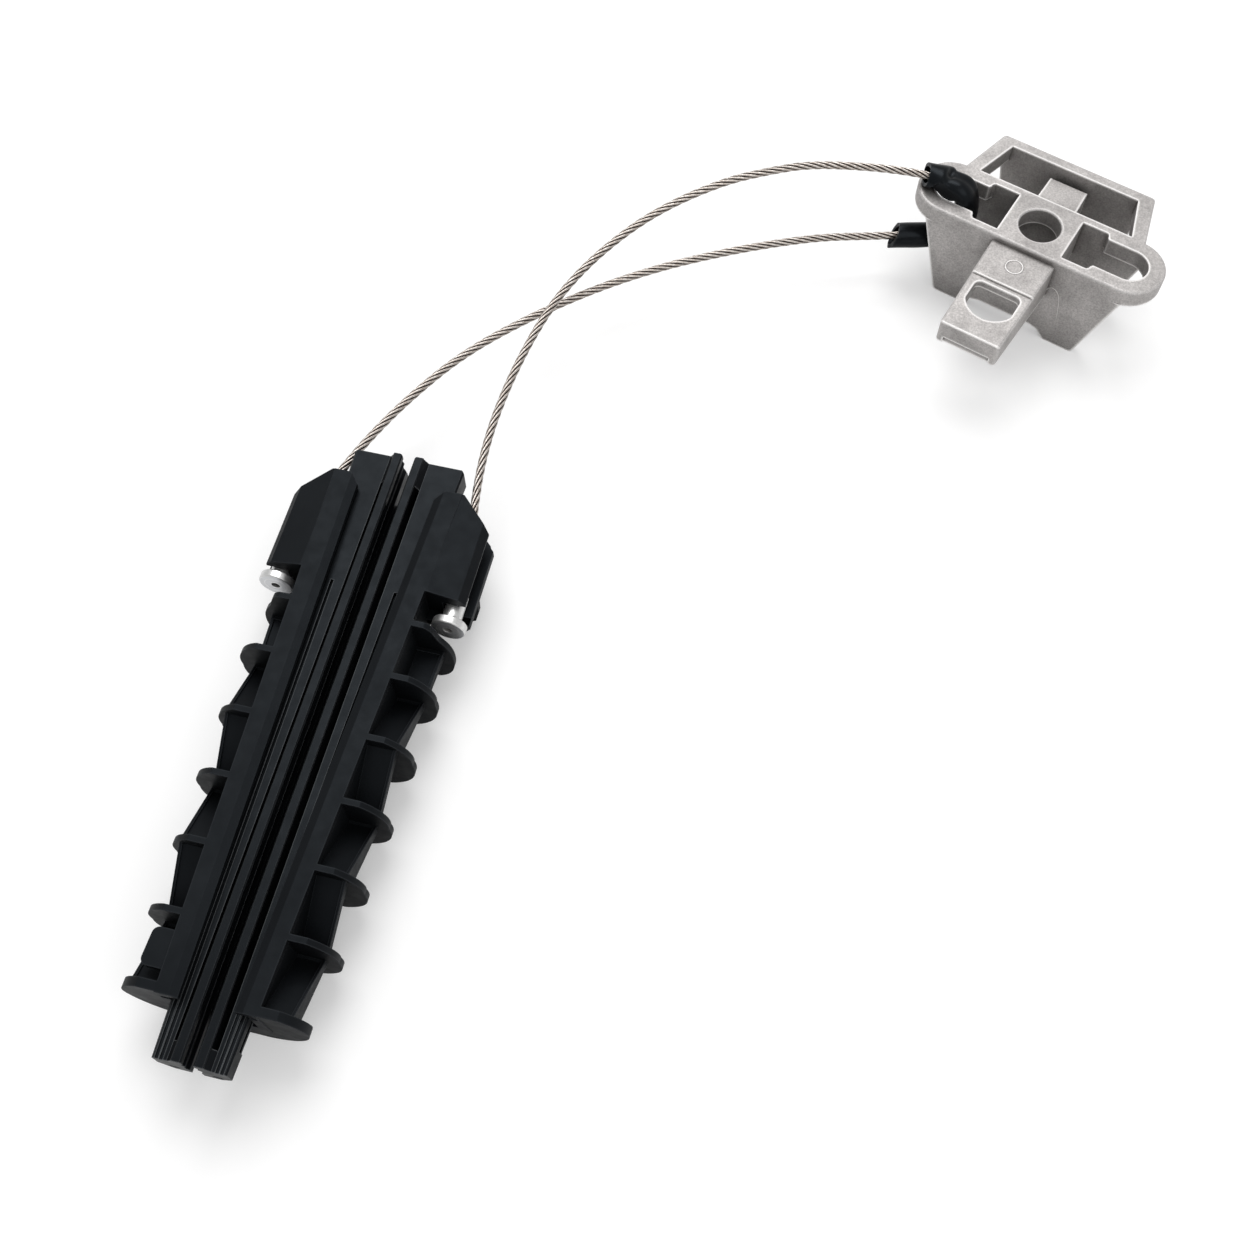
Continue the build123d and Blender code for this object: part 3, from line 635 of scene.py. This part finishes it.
@dataclass(frozen=True)
class SleeveRubber:
    """Soft black rubber of the sleeve, with a painted highlight along its edges."""

    name: str = "sleeve_rubber"
    base: Colour = (0.0022, 0.0025, 0.0030)
    light: Colour = (0.0055, 0.0060, 0.0070)
    # Painted highlight along the hose's edges and rims
    edge: Colour = (0.028, 0.030, 0.033)
    clouds: Grain = Grain(80.0)
    cloud_band: Band = (0.3, 0.75)
    edge_width: float = 0.0007
    round_size: float = 0.0005
    skin: Skin = (Relief(Grain(200.0, 3.0), 0.0002, 0.4),)
    roughness: float = 0.28
    specular: float = 0.16
    gloss: Colour = (0.80, 0.90, 1.0)

    def material(self) -> bpy.types.Material:
        """Build the material.

        Returns:
            The finished material.
        """
        shader = Shader(self.name)
        clouds = shader.ramp(shader.grain(self.clouds), self.cloud_band, (self.base, self.light))
        # Outer edges take the painted highlight
        colour = shader.mix(shader.edges(self.edge_width), clouds, self.edge)
        normal = shader.relief(self.skin, shader.rounding(self.round_size))
        return shader.finish(colour, self.roughness, normal, specular=self.specular, gloss_tint=self.gloss)


def smooth_step(value: float, low: float, high: float) -> float:
    """Rise softly from 0 at low to 1 at high."""
    share = min(max((value - low) / (high - low), 0.0), 1.0)
    return share * share * (3.0 - 2.0 * share)


def signed_power(value: float, power: float) -> float:
    """Raise a number's size to a power and keep its sign."""
    return math.copysign(abs(value) ** power, value)


def lengths_along(points: list[Vector]) -> list[float]:
    """Measure how far along a line each of its points lies.

    Args:
        points: Points of the line.

    Returns:
        Distances from the first point, in metres.
    """
    lengths = [0.0]
    for before, after in zip(points, points[1:]):
        lengths.append(lengths[-1] + (after - before).length)
    return lengths


def directions_along(points: list[Vector]) -> list[Vector]:
    """Find the unit vectors towards a line's end at each of its points."""
    neighbours = zip(points[:1] + points[:-1], points[1:] + points[-1:])
    return [(after - before).normalized() for before, after in neighbours]


def evenly_spaced(points: list[Vector], step: float) -> list[Vector]:
    """Walk along a line and return points at an even distance.

    Args:
        points: Points of the line.
        step: Wanted distance in metres.

    Returns:
        Points with both ends kept.
    """
    lengths = lengths_along(points)
    count = max(2, round(lengths[-1] / step))
    result = []
    segment = 0
    for index in range(count + 1):
        target = lengths[-1] * index / count
        while segment < len(points) - 2 and lengths[segment + 1] < target:
            segment += 1
        span = max(lengths[segment + 1] - lengths[segment], SHORTEST_SPAN)
        share = (target - lengths[segment]) / span
        result.append(points[segment].lerp(points[segment + 1], min(max(share, 0.0), 1.0)))
    return result


def carried_frames(points: list[Vector]) -> list[tuple[Vector, Vector, Vector]]:
    """Carry a cross frame along a line without twist.

    Args:
        points: Points of the line.

    Returns:
        Tangent, side and up vectors for each point.
    """
    tangents = directions_along(points)
    upright = abs(tangents[0].z) > UPRIGHT_SHARE
    side = tangents[0].cross(Vector((0.0, 1.0, 0.0) if upright else (0.0, 0.0, 1.0))).normalized()
    frames = []
    for tangent in tangents:
        side = (side - tangent * side.dot(tangent)).normalized()
        frames.append((tangent, side, tangent.cross(side)))
    return frames


def round_ring(centre: Vector, side: Vector, up: Vector, radius: float, sides: int) -> list[Vector]:
    """Lay points on a circle, from its side, which is the first point, towards its top."""
    turns = [2 * math.pi * index / sides for index in range(sides)]
    return [centre + (side * math.cos(turn) + up * math.sin(turn)) * radius for turn in turns]


def skin_rows(work: bmesh.types.BMesh, rows: list[list[bmesh.types.BMVert]]) -> None:
    """Lay faces between each row of a tube's vertices and the next row.

    Args:
        work: Mesh to add to.
        rows: Rows with the same number of vertices, each one a closed ring.
    """
    count = len(rows[0])
    for before, after in zip(rows, rows[1:]):
        for index in range(count):
            follow = (index + 1) % count
            work.faces.new((before[index], before[follow], after[follow], after[index]))


def closed_tube(work: bmesh.types.BMesh, rings: list[list[Vector]]) -> None:
    """Join rings of points into a tube with both ends closed.

    Args:
        work: Mesh to add to.
        rings: Rings with the same number of points.
    """
    rows = [[work.verts.new(point) for point in ring] for ring in rings]
    skin_rows(work, rows)
    work.faces.new(list(reversed(rows[0])))
    work.faces.new(rows[-1])


def smooth_mesh(work: bmesh.types.BMesh, name: str) -> bpy.types.Mesh:
    """Turn a model into a smooth mesh whose faces look outwards.

    Args:
        work: Model, which is freed.
        name: Name of the mesh.

    Returns:
        The mesh.
    """
    mesh = bpy.data.meshes.new(name)
    bmesh.ops.recalc_face_normals(work, faces=work.faces)
    work.to_mesh(mesh)
    work.free()
    mesh.shade_smooth()
    return mesh


def new_piece(name: str, mesh: bpy.types.Mesh, material: bpy.types.Material) -> bpy.types.Object:
    """Put a mesh in the scene as a piece.

    Args:
        name: Name of the piece.
        mesh: Its mesh, in the row frame.
        material: Its material.

    Returns:
        The new object.
    """
    piece = bpy.data.objects.new(name, mesh)
    bpy.context.scene.collection.objects.link(piece)
    mesh.materials.clear()
    mesh.materials.append(material)
    return piece


@dataclass
class RigidPiece:
    """A rigid piece with the frame's own form, its flats clean and its curves smooth."""

    node: str
    body: Body
    slot: str
    material: bpy.types.Material

    def build(self, source: bpy.types.Object) -> bpy.types.Object:
        """Copy the frame's node with its face normals, and dress it.

        Args:
            source: The frame's node.

        Returns:
            The piece that stands for the node.
        """
        mesh = source.data.copy()
        mesh.name = self.node + "_form"
        piece = new_piece(self.node + "_piece", mesh, self.material)
        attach(piece, self.body.value)
        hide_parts(self.node)
        log.info("%s: %d faces", piece.name, len(mesh.polygons))
        return piece


@dataclass(frozen=True)
class SlotSteps:
    """The steps in the bracket's ear slots, from square corners to a short curve."""

    moves: tuple[tuple[tuple[float, float], tuple[float, float]], ...] = (
        ((0.0310, 0.0133), (0.0305, 0.0133)),
        ((0.0310, 0.0117), (0.0315, 0.0123)),
        ((0.0330, 0.0117), (0.0319, 0.0108)),
        ((0.0330, 0.0097), (0.0327, 0.0097)),
    )
    lowest: float = 0.044
    catch: float = 0.00006

    def ease(self, mesh: bpy.types.Mesh) -> None:
        """Move the corners of the steps in the bracket's mesh.

        Args:
            mesh: Mesh of the bracket in the row frame.
        """
        turn = Matrix.Rotation(BRACKET_YAW, 3, "Z")
        back = turn.inverted()
        origin = bracket_to_row((0.0, 0.0, 0.0))
        moved = 0
        for vertex in mesh.vertices:
            place = back @ (vertex.co - origin)
            if place.z < self.lowest:
                continue
            for (x, y), (new_x, new_y) in self.moves:
                if abs(abs(place.x) - x) < self.catch and abs(abs(place.y) - y) < self.catch:
                    place.x = math.copysign(new_x, place.x)
                    place.y = math.copysign(new_y, place.y)
                    vertex.co = turn @ place + origin
                    moved += 1
                    break
        mesh.update()
        log.info("slot steps: %d corners moved", moved)


@dataclass
class WitnessMark:
    """Faint raised arch that the die left on the bracket's front wall."""

    material: bpy.types.Material
    wall_y: float = -0.0176
    radius: float = 0.00028
    sides: int = 8
    step: float = 0.0006
    end_share: float = 0.2
    tapered_steps: int = 8
    points: tuple[tuple[float, float], ...] = ARCH_POINTS

    def build(self) -> bpy.types.Object:
        """Build the arch as a thin bead, half sunk in the wall and thinner at its ends.

        Returns:
            The arch's piece.
        """
        line = evenly_spaced([bracket_to_row((x, self.wall_y, z)) for x, z in self.points], self.step)
        rings = []
        for index, (point, (_, side, up)) in enumerate(zip(line, carried_frames(line))):
            from_end = min(index, len(line) - 1 - index)
            thickness = min(1.0, self.end_share + from_end / self.tapered_steps)
            rings.append(round_ring(point, side, up, self.radius * thickness, self.sides))
        work = bmesh.new()
        closed_tube(work, rings)
        mesh = smooth_mesh(work, "witness_mark_form")
        piece = new_piece("witness_mark_piece", mesh, self.material)
        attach(piece, Body.BRACKET.value)
        log.info("witness mark: %d faces", len(mesh.polygons))
        return piece


@dataclass
class RopeRoute:
    """The rope's smooth centre line, from the left ferrule to the right one."""

    resolution: int = 24
    order: int = 3
    step: float = 0.0008
    points: list[Vector] = field(default_factory=list)

    def control_points(self) -> list[Vector]:
        """Give the points that the route is drawn with.

        Returns:
            Points in the row frame, from left to right.
        """
        route = [clamp_to_row(point) for point in LEG_LEFT]
        route += [bracket_to_row(point) for point in LOOP]
        route += [clamp_to_row(point) for point in reversed(LEG_RIGHT)]
        return route

    def build(self) -> None:
        """Read evenly spaced points from the NURBS spline of the route."""
        curve = bpy.data.curves.new("rope_route", "CURVE")
        curve.dimensions = "3D"
        spline = curve.splines.new("NURBS")
        route = self.control_points()
        spline.points.add(len(route) - 1)
        for target, point in zip(spline.points, route):
            target.co = (*point, 1.0)
        spline.order_u = self.order
        spline.use_endpoint_u = True
        spline.resolution_u = self.resolution
        holder = bpy.data.objects.new("rope_route", curve)
        bpy.context.scene.collection.objects.link(holder)
        bpy.context.view_layer.update()
        line = bpy.data.meshes.new_from_object(holder)
        raw = [vertex.co.copy() for vertex in line.vertices]
        bpy.data.objects.remove(holder)
        bpy.data.curves.remove(curve)
        bpy.data.meshes.remove(line)
        self.points = evenly_spaced(raw, self.step)

    def length(self) -> float:
        """Give the length of the centre line in metres."""
        return lengths_along(self.points)[-1]

    def nearest(self, place: Vector) -> int:
        """Give the index of the point of the centre line nearest to a place."""
        return min(range(len(self.points)), key=lambda index: (self.points[index] - place).length)


@dataclass
class WireRope:
    """Laid wire rope: outer strands in a right-hand lay round a core."""

    material: bpy.types.Material
    diameter: float = 0.004
    strands: int = 6
    lay_length: float = 0.032
    sides: int = 8
    core_share: float = 0.36
    core_skip: int = 4
    length: float = 0.875

    def strand_radius(self) -> float:
        """Give a strand's radius, so that neighbours touch."""
        share = math.sin(math.pi / self.strands)
        return self.diameter / 2 * share / (1 + share)

    def strand_rings(self, stations: list[Station], strand: int) -> list[list[Vector]]:
        """Wind one strand round the rope's centre line.

        Args:
            stations: Points of the centre line with their frames and distances walked.
            strand: Number of the strand, from 0.

        Returns:
            Rings of the strand's skin.
        """
        radius = self.strand_radius()
        orbit = self.diameter / 2 - radius
        phase = 2 * math.pi * strand / self.strands
        rings = []
        for point, (tangent, side, up), walked in stations:
            angle = phase + 2 * math.pi * walked / self.lay_length
            out = side * math.cos(angle) + up * math.sin(angle)
            rings.append(round_ring(point + out * orbit, out, tangent.cross(out), radius, self.sides))
        return rings

    def core_rings(self, stations: list[Station]) -> list[list[Vector]]:
        """Lay the core in the middle of the strands.

        Args:
            stations: Points of the centre line with their frames and distances walked.

        Returns:
            Rings of the core's skin, one for every few stations.
        """
        kept = stations[::self.core_skip] + stations[-1:]
        radius = self.diameter * self.core_share
        return [round_ring(point, side, up, radius, self.sides) for point, (_, side, up), _ in kept]

    def build(self, route: RopeRoute) -> bpy.types.Object:
        """Build the rope along its route.

        Args:
            route: Centre line of the rope.

        Returns:
            The rope's piece.
        """
        frames = carried_frames(route.points)
        stations = list(zip(route.points, frames, lengths_along(route.points)))
        work = bmesh.new()
        for strand in range(self.strands):
            closed_tube(work, self.strand_rings(stations, strand))
        closed_tube(work, self.core_rings(stations))
        mesh = smooth_mesh(work, "bail_rope_form")
        piece = new_piece("bail_rope_piece", mesh, self.material)
        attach(piece, Body.BAIL.value)
        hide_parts("bail_rope")
        log.info("rope: %.1f mm of centre line, %d faces", route.length() / MM, len(mesh.polygons))
        return piece


@dataclass(frozen=True)
class Mouth:
    """One open end of the sleeve: where it lies and how its edge is cut."""

    place: Point
    slant: Point


@dataclass(frozen=True)
class SwingRoom:
    """Room that the bracket's ear needs on both sides of the sleeve when it swings up."""

    hinge_x: float = -0.0571
    hinge_z: float = 0.04925
    plate_rise: float = 0.00475
    slot_centre: float = -0.0474
    slot_half_width: float = 0.0097
    gap: float = 0.0003
    least_room: float = 0.003
    swing: float = math.radians(52.0)

    def inside(self, place: Vector) -> Vector:
        """Keep a point of the sleeve within the slot's width where the ear passes.

        Args:
            place: Point of the sleeve in the row frame.

        Returns:
            The point, moved towards the slot's middle if the ear would meet it.
        """
        local = row_to_bracket(place)
        across = local.x - self.hinge_x
        above = local.z - self.hinge_z
        reach = math.hypot(across, above)
        if above < -self.plate_rise:
            return place
        met_x = local.x
        if above > self.plate_rise:
            start = math.asin(self.plate_rise / reach)
            if math.atan2(above, across) > start + self.swing:
                return place
            met_x = self.hinge_x + math.sqrt(reach ** 2 - self.plate_rise ** 2)
        beyond = max(0.0, self.slot_centre - met_x)
        room = math.sqrt(max(0.0, self.slot_half_width ** 2 - beyond ** 2)) - self.gap
        room = max(room, self.least_room)
        return bracket_to_row((local.x, min(max(local.y, -room), room), local.z))


@dataclass(frozen=True)
class Stretch:
    """A stretch of the hose with soft ends, in metres along the rope from its upper mouth."""

    start: float
    full: float
    fading: float
    end: float

    def share(self, travelled: float) -> float:
        """Give 0 outside the stretch and 1 where it is full."""
        rising = smooth_step(travelled, self.start, self.full)
        return rising * (1.0 - smooth_step(travelled, self.fading, self.end))


@dataclass(frozen=True)
class HoseSection:
    """How the hose's section changes along the rope, in metres and radians."""

    half_width: float = 0.0064
    inward: float = 0.0063
    outward: float = 0.0064
    squash: Stretch = Stretch(0.0, 0.010, 0.0108, 0.0140)
    squash_growth: float = 0.0020
    bend: Stretch = Stretch(0.008, 0.012, 0.026, 0.040)
    bend_growth: float = 0.0013
    bend_flattening: float = 0.0005
    rim_end: Band = (0.008, 0.020)
    rim_flattening: float = 0.0020
    boxy: Stretch = Stretch(0.002, 0.007, 0.015, 0.022)
    boxy_share: float = 0.55
    fold_place: float = 0.0118
    fold_length: float = 0.0018
    fold_depth: float = 0.0011
    hollow: Stretch = Stretch(0.009, 0.012, 0.020, 0.036)
    hollow_depth: float = 0.0017
    dent_turn: float = 0.25
    dent_spread: float = 0.62

    def half_sizes(self, travelled: float) -> tuple[float, float, float]:
        """Give the hose's half-sizes at a distance from its upper mouth.

        Args:
            travelled: Distance along the rope from the upper mouth, in metres.

        Returns:
            Sideways, towards the ear, and away from the ear.
        """
        on_rim = 1.0 - smooth_step(travelled, *self.rim_end)
        in_bend = self.bend.share(travelled)
        squashed = self.squash.share(travelled)
        sideways = self.half_width + self.squash_growth * squashed + self.bend_growth * in_bend
        inward = self.inward - self.rim_flattening * on_rim
        outward = self.outward - self.bend_flattening * in_bend
        return sideways, inward, outward

    def squareness(self, travelled: float) -> float:
        """Give the power that makes the underside squarer below 1."""
        return 1.0 - self.boxy_share * self.boxy.share(travelled)

    def dent(self, travelled: float, angle: float) -> float:
        """Give how far the skin is pushed in by the fold.

        Args:
            travelled: Distance along the rope from the upper mouth, in metres.
            angle: Place round the hose in radians.

        Returns:
            Depth in metres.
        """
        fold = self.fold_depth * math.exp(-(((travelled - self.fold_place) / self.fold_length) ** 2))
        hollow = self.hollow_depth * self.hollow.share(travelled)
        turn = (angle + math.pi / 2 - self.dent_turn + math.pi) % (2 * math.pi) - math.pi
        return (fold + hollow) * math.exp(-((turn / self.dent_spread) ** 2))


@dataclass
class RopeSleeve:
    """Soft rubber hose round the bracket's ear, folded where it dips into the slot."""

    material: bpy.types.Material
    wall: float = 0.0018
    sides: int = 48
    step: float = 0.0005
    sharp_angle: float = math.radians(60.0)
    section: HoseSection = HoseSection()
    lower_mouth: Mouth = Mouth((-0.0667, -0.0205, 0.0271), (0.02, 0.27, 0.32))
    upper_mouth: Mouth = Mouth((-0.0620, -0.0053, 0.0590), (-0.01, -0.21, 0.20))
    mouth_reach: float = 0.008
    swell_scale: float = 120.0
    swell_share: float = 0.035
    ragged_scale: float = 260.0
    ragged_depth: float = 0.0005
    swing_room: SwingRoom = SwingRoom()

    def ring(
        self, point: Vector, tangent: Vector, walked: float, travelled: float
    ) -> list[tuple[Vector, Vector]]:
        """Lay one ring of the hose.

        Args:
            point: The ring's place on the rope's centre line.
            tangent: Direction of the rope there.
            walked: Distance along the rope from the lower mouth, in metres.
            travelled: Distance along the rope from the upper mouth, in metres.

        Returns:
            Outer and inner point for each place round the hose.
        """
        across = Matrix.Rotation(BRACKET_YAW, 3, "Z") @ Vector((0.0, 1.0, 0.0))
        side = (across - tangent * across.dot(tangent)).normalized()
        to_ear = tangent.cross(side)
        sideways, inward, outward = self.section.half_sizes(travelled)
        near_low = max(0.0, 1.0 - walked / self.mouth_reach)
        near_high = max(0.0, 1.0 - travelled / self.mouth_reach)
        ring = []
        for index in range(self.sides):
            angle = 2 * math.pi * index / self.sides
            under = math.sin(angle) > 0
            power = self.section.squareness(travelled) if under else 1.0
            reach = inward if under else outward
            out = side * signed_power(math.cos(angle), power) * sideways
            out += to_ear * signed_power(math.sin(angle), power) * reach
            swell = 1.0 + noise.noise((point + out) * self.swell_scale) * self.swell_share
            out *= swell * (1.0 - self.section.dent(travelled, angle) / out.length)
            low_cut = out.dot(Vector(self.lower_mouth.slant)) * near_low
            high_cut = out.dot(Vector(self.upper_mouth.slant)) * near_high
            ragged = noise.noise((point + out) * self.ragged_scale) * self.ragged_depth
            ragged *= near_low + near_high
            middle = point + tangent * (low_cut - high_cut + ragged)
            skin = self.swing_room.inside(middle + out)
            out = skin - middle
            ring.append((skin, middle + out * (1.0 - self.wall / out.length)))
        return ring

    def rings(self, points: list[Vector]) -> list[list[Vector]]:
        """Lay the hose's rings along the rope on the outside, and back on the inside.

        Args:
            points: The rope's centre line inside the hose, from the lower mouth.

        Returns:
            Outer rings from the lower mouth to the upper one, then inner rings back.
        """
        outer = []
        inner = []
        lengths = lengths_along(points)
        for point, tangent, walked in zip(points, directions_along(points), lengths):
            ring = self.ring(point, tangent, walked, lengths[-1] - walked)
            outer.append([skin for skin, _ in ring])
            inner.append([lining for _, lining in ring])
        return outer + inner[::-1]

    def build(self, route: RopeRoute) -> bpy.types.Object:
        """Build the sleeve on its stretch of the rope.

        Args:
            route: Centre line of the rope.

        Returns:
            The sleeve's piece.
        """
        first = route.nearest(bracket_to_row(self.lower_mouth.place))
        last = route.nearest(bracket_to_row(self.upper_mouth.place))
        work = bmesh.new()
        rings = self.rings(evenly_spaced(route.points[first:last + 1], self.step))
        rows = [[work.verts.new(point) for point in ring] for ring in rings]
        skin_rows(work, rows + rows[:1])
        mesh = smooth_mesh(work, "rope_sleeve_form")
        mesh.set_sharp_from_angle(angle=self.sharp_angle)
        piece = new_piece("rope_sleeve_piece", mesh, self.material)
        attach(piece, Body.BAIL.value)
        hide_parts("rope_sleeve")
        log.info("sleeve: %d faces", len(mesh.polygons))
        return piece


@dataclass(frozen=True)
class SoftLamp:
    """A square lamp: its place and the length of its side in metres, its power in watts."""

    name: str
    place: Point
    size: float
    power: float

    def hang(self) -> None:
        """Hang the lamp so that it points at the middle of the object."""
        place = Vector(self.place)
        data = bpy.data.lights.new(self.name, "AREA")
        data.size = self.size
        data.energy = self.power
        lamp = bpy.data.objects.new(self.name, data)
        lamp.location = place
        lamp.rotation_euler = (-place).to_track_quat("-Z", "Y").to_euler()
        bpy.context.scene.collection.objects.link(lamp)


@dataclass(frozen=True)
class Studio:
    """Pale floor, soft light and the camera of the photograph."""

    camera_place: Point = (0.04583, -0.33796, 0.6075)
    camera_aim: Point = (-0.02794, -0.02839, 0.0)
    focal_pixels: float = 1467.145
    image_pixels: float = 1254.0
    sensor: float = 36.0
    nearest_seen: float = 0.01
    farthest_seen: float = 20.0
    floor_size: float = 4.0
    floor_tone: float = 0.76
    floor_roughness: float = 0.9
    floor_glow: float = 0.27
    sky_light: float = 0.55
    lamps: tuple[SoftLamp, ...] = (
        SoftLamp("key", (-0.35, 0.95, 1.9), 1.5, 27.0),
        SoftLamp("fill", (1.0, -0.9, 1.5), 1.6, 9.0),
    )

    def build(self) -> None:
        """Build the camera, the floor, the world and the lamps."""
        self.camera()
        self.floor()
        self.world()
        for lamp in self.lamps:
            lamp.hang()
        log.info("studio built")

    def camera(self) -> None:
        """Place the camera at the photograph's angle."""
        data = bpy.data.cameras.new("camera")
        data.sensor_fit = "HORIZONTAL"
        data.sensor_width = self.sensor
        data.lens = self.sensor * self.focal_pixels / self.image_pixels
        data.clip_start = self.nearest_seen
        data.clip_end = self.farthest_seen
        place = Vector(self.camera_place)
        camera = bpy.data.objects.new("camera", data)
        camera.location = place
        camera.rotation_euler = (Vector(self.camera_aim) - place).to_track_quat("-Z", "Y").to_euler()
        bpy.context.scene.collection.objects.link(camera)
        bpy.context.scene.camera = camera

    def floor(self) -> None:
        """Lay the pale floor, which glows a little to the camera."""
        half = self.floor_size / 2
        mesh = bpy.data.meshes.new("floor")
        corners = [(-half, -half, 0.0), (half, -half, 0.0), (half, half, 0.0), (-half, half, 0.0)]
        mesh.from_pydata(corners, [], [(0, 1, 2, 3)])
        shader = Shader("floor")
        shader.finish(grey(self.floor_tone), self.floor_roughness, specular=0.0)
        seen = shader.node("ShaderNodeLightPath")
        glow = shader.node("ShaderNodeMath", operation="MULTIPLY")
        glow.inputs[1].default_value = self.floor_glow
        shader.link(seen.outputs["Is Camera Ray"], glow.inputs[0])
        shader.feed(shader.principled.inputs["Emission Color"], WHITE)
        shader.link(glow.outputs[0], shader.principled.inputs["Emission Strength"])
        floor = new_piece("floor", mesh, shader.material)

    def world(self) -> None:
        """Set the soft surrounding light, white where it is seen."""
        world = bpy.data.worlds.new("world")
        world.use_nodes = True
        bpy.context.scene.world = world
        tree = world.node_tree
        seen = tree.nodes.new("ShaderNodeLightPath")
        strength = tree.nodes.new("ShaderNodeMapRange")
        strength.inputs["To Min"].default_value = self.sky_light
        strength.inputs["To Max"].default_value = 1.0
        tree.links.new(seen.outputs["Is Camera Ray"], strength.inputs["Value"])
        tree.nodes["Background"].inputs["Color"].default_value = (*WHITE, 1.0)
        tree.links.new(strength.outputs["Result"], tree.nodes["Background"].inputs["Strength"])


class AnchorClamp:
    """The whole clamp, built piece by piece round the frame."""

    def __init__(self, frame: dict) -> None:
        """Keep the frame's nodes and prepare the finishes.
        """
        self.nodes = frame["nodes"]
        self.nylon = MouldedNylon().material()
        self.wedge_nylon = MouldedNylon(
            name="wedge_nylon",
            # Much lighter edge colour on the wedges: a painted highlight along their edges
            edge=(0.11, 0.115, 0.12),
            edge_width=0.00045,
            round_size=0.0003,
            smooth=0.28,
            rough=0.40,
            specular=0.115,
        ).material()
        self.aluminium = CastAluminium().material()
        # The arch bead is coloured almost wholly by the painted rim highlight, dimmed here
        self.mark_aluminium = CastAluminium(name="cast_mark", rim_highlight=(0.74, 0.72, 0.70)).material()
        self.strand = StrandSteel().material()
        self.rubber = SleeveRubber().material()
        self.route = RopeRoute()

    def build_rope(self) -> None:
        self.route.build()
        rope = WireRope(self.strand)
        piece = rope.build(self.route)
        sleeve = RopeSleeve(self.rubber).build(self.route)
        for side, leg in ((Side.LEFT, LEG_LEFT), (Side.RIGHT, LEG_RIGHT)):
            node = f"ferrule_{side.value}"
            start = clamp_to_row(leg[0])
            steel = TurnedSteel(f"turned_steel_{side.value}", start.x, start.z).material()
            RigidPiece(node, Body.BAIL, "ferrule_steel", steel).build(self.nodes[node])

    def build_clamp(self) -> None:
        """Dress the moulded body and both wedges."""
        RigidPiece("clamp_body", Body.CLAMP, "clamp_plastic", self.nylon).build(self.nodes["clamp_body"])
        for side, body in ((Side.LEFT, Body.LEFT_WEDGE), (Side.RIGHT, Body.RIGHT_WEDGE)):
            node = f"wedge_{side.value}"
            RigidPiece(node, body, "wedge_plastic", self.wedge_nylon).build(self.nodes[node])

    def build_bracket(self) -> None:
        """Dress the cast bracket, soften its slots' steps and add the casting's mark."""
        bracket = RigidPiece("bracket", Body.BRACKET, "cast_aluminium", self.aluminium)
        SlotSteps().ease(bracket.build(self.nodes["bracket"]).data)
        WitnessMark(self.mark_aluminium).build()


def main() -> None:
    logging.basicConfig(level=logging.INFO)
    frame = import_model()
    bpy.context.scene.view_settings.view_transform = "Standard"
    studio = Studio()
    studio.build()
    clamp = AnchorClamp(frame)
    clamp.build_rope()
    clamp.build_clamp()
    clamp.build_bracket()


if __name__ == "__main__":
    main()
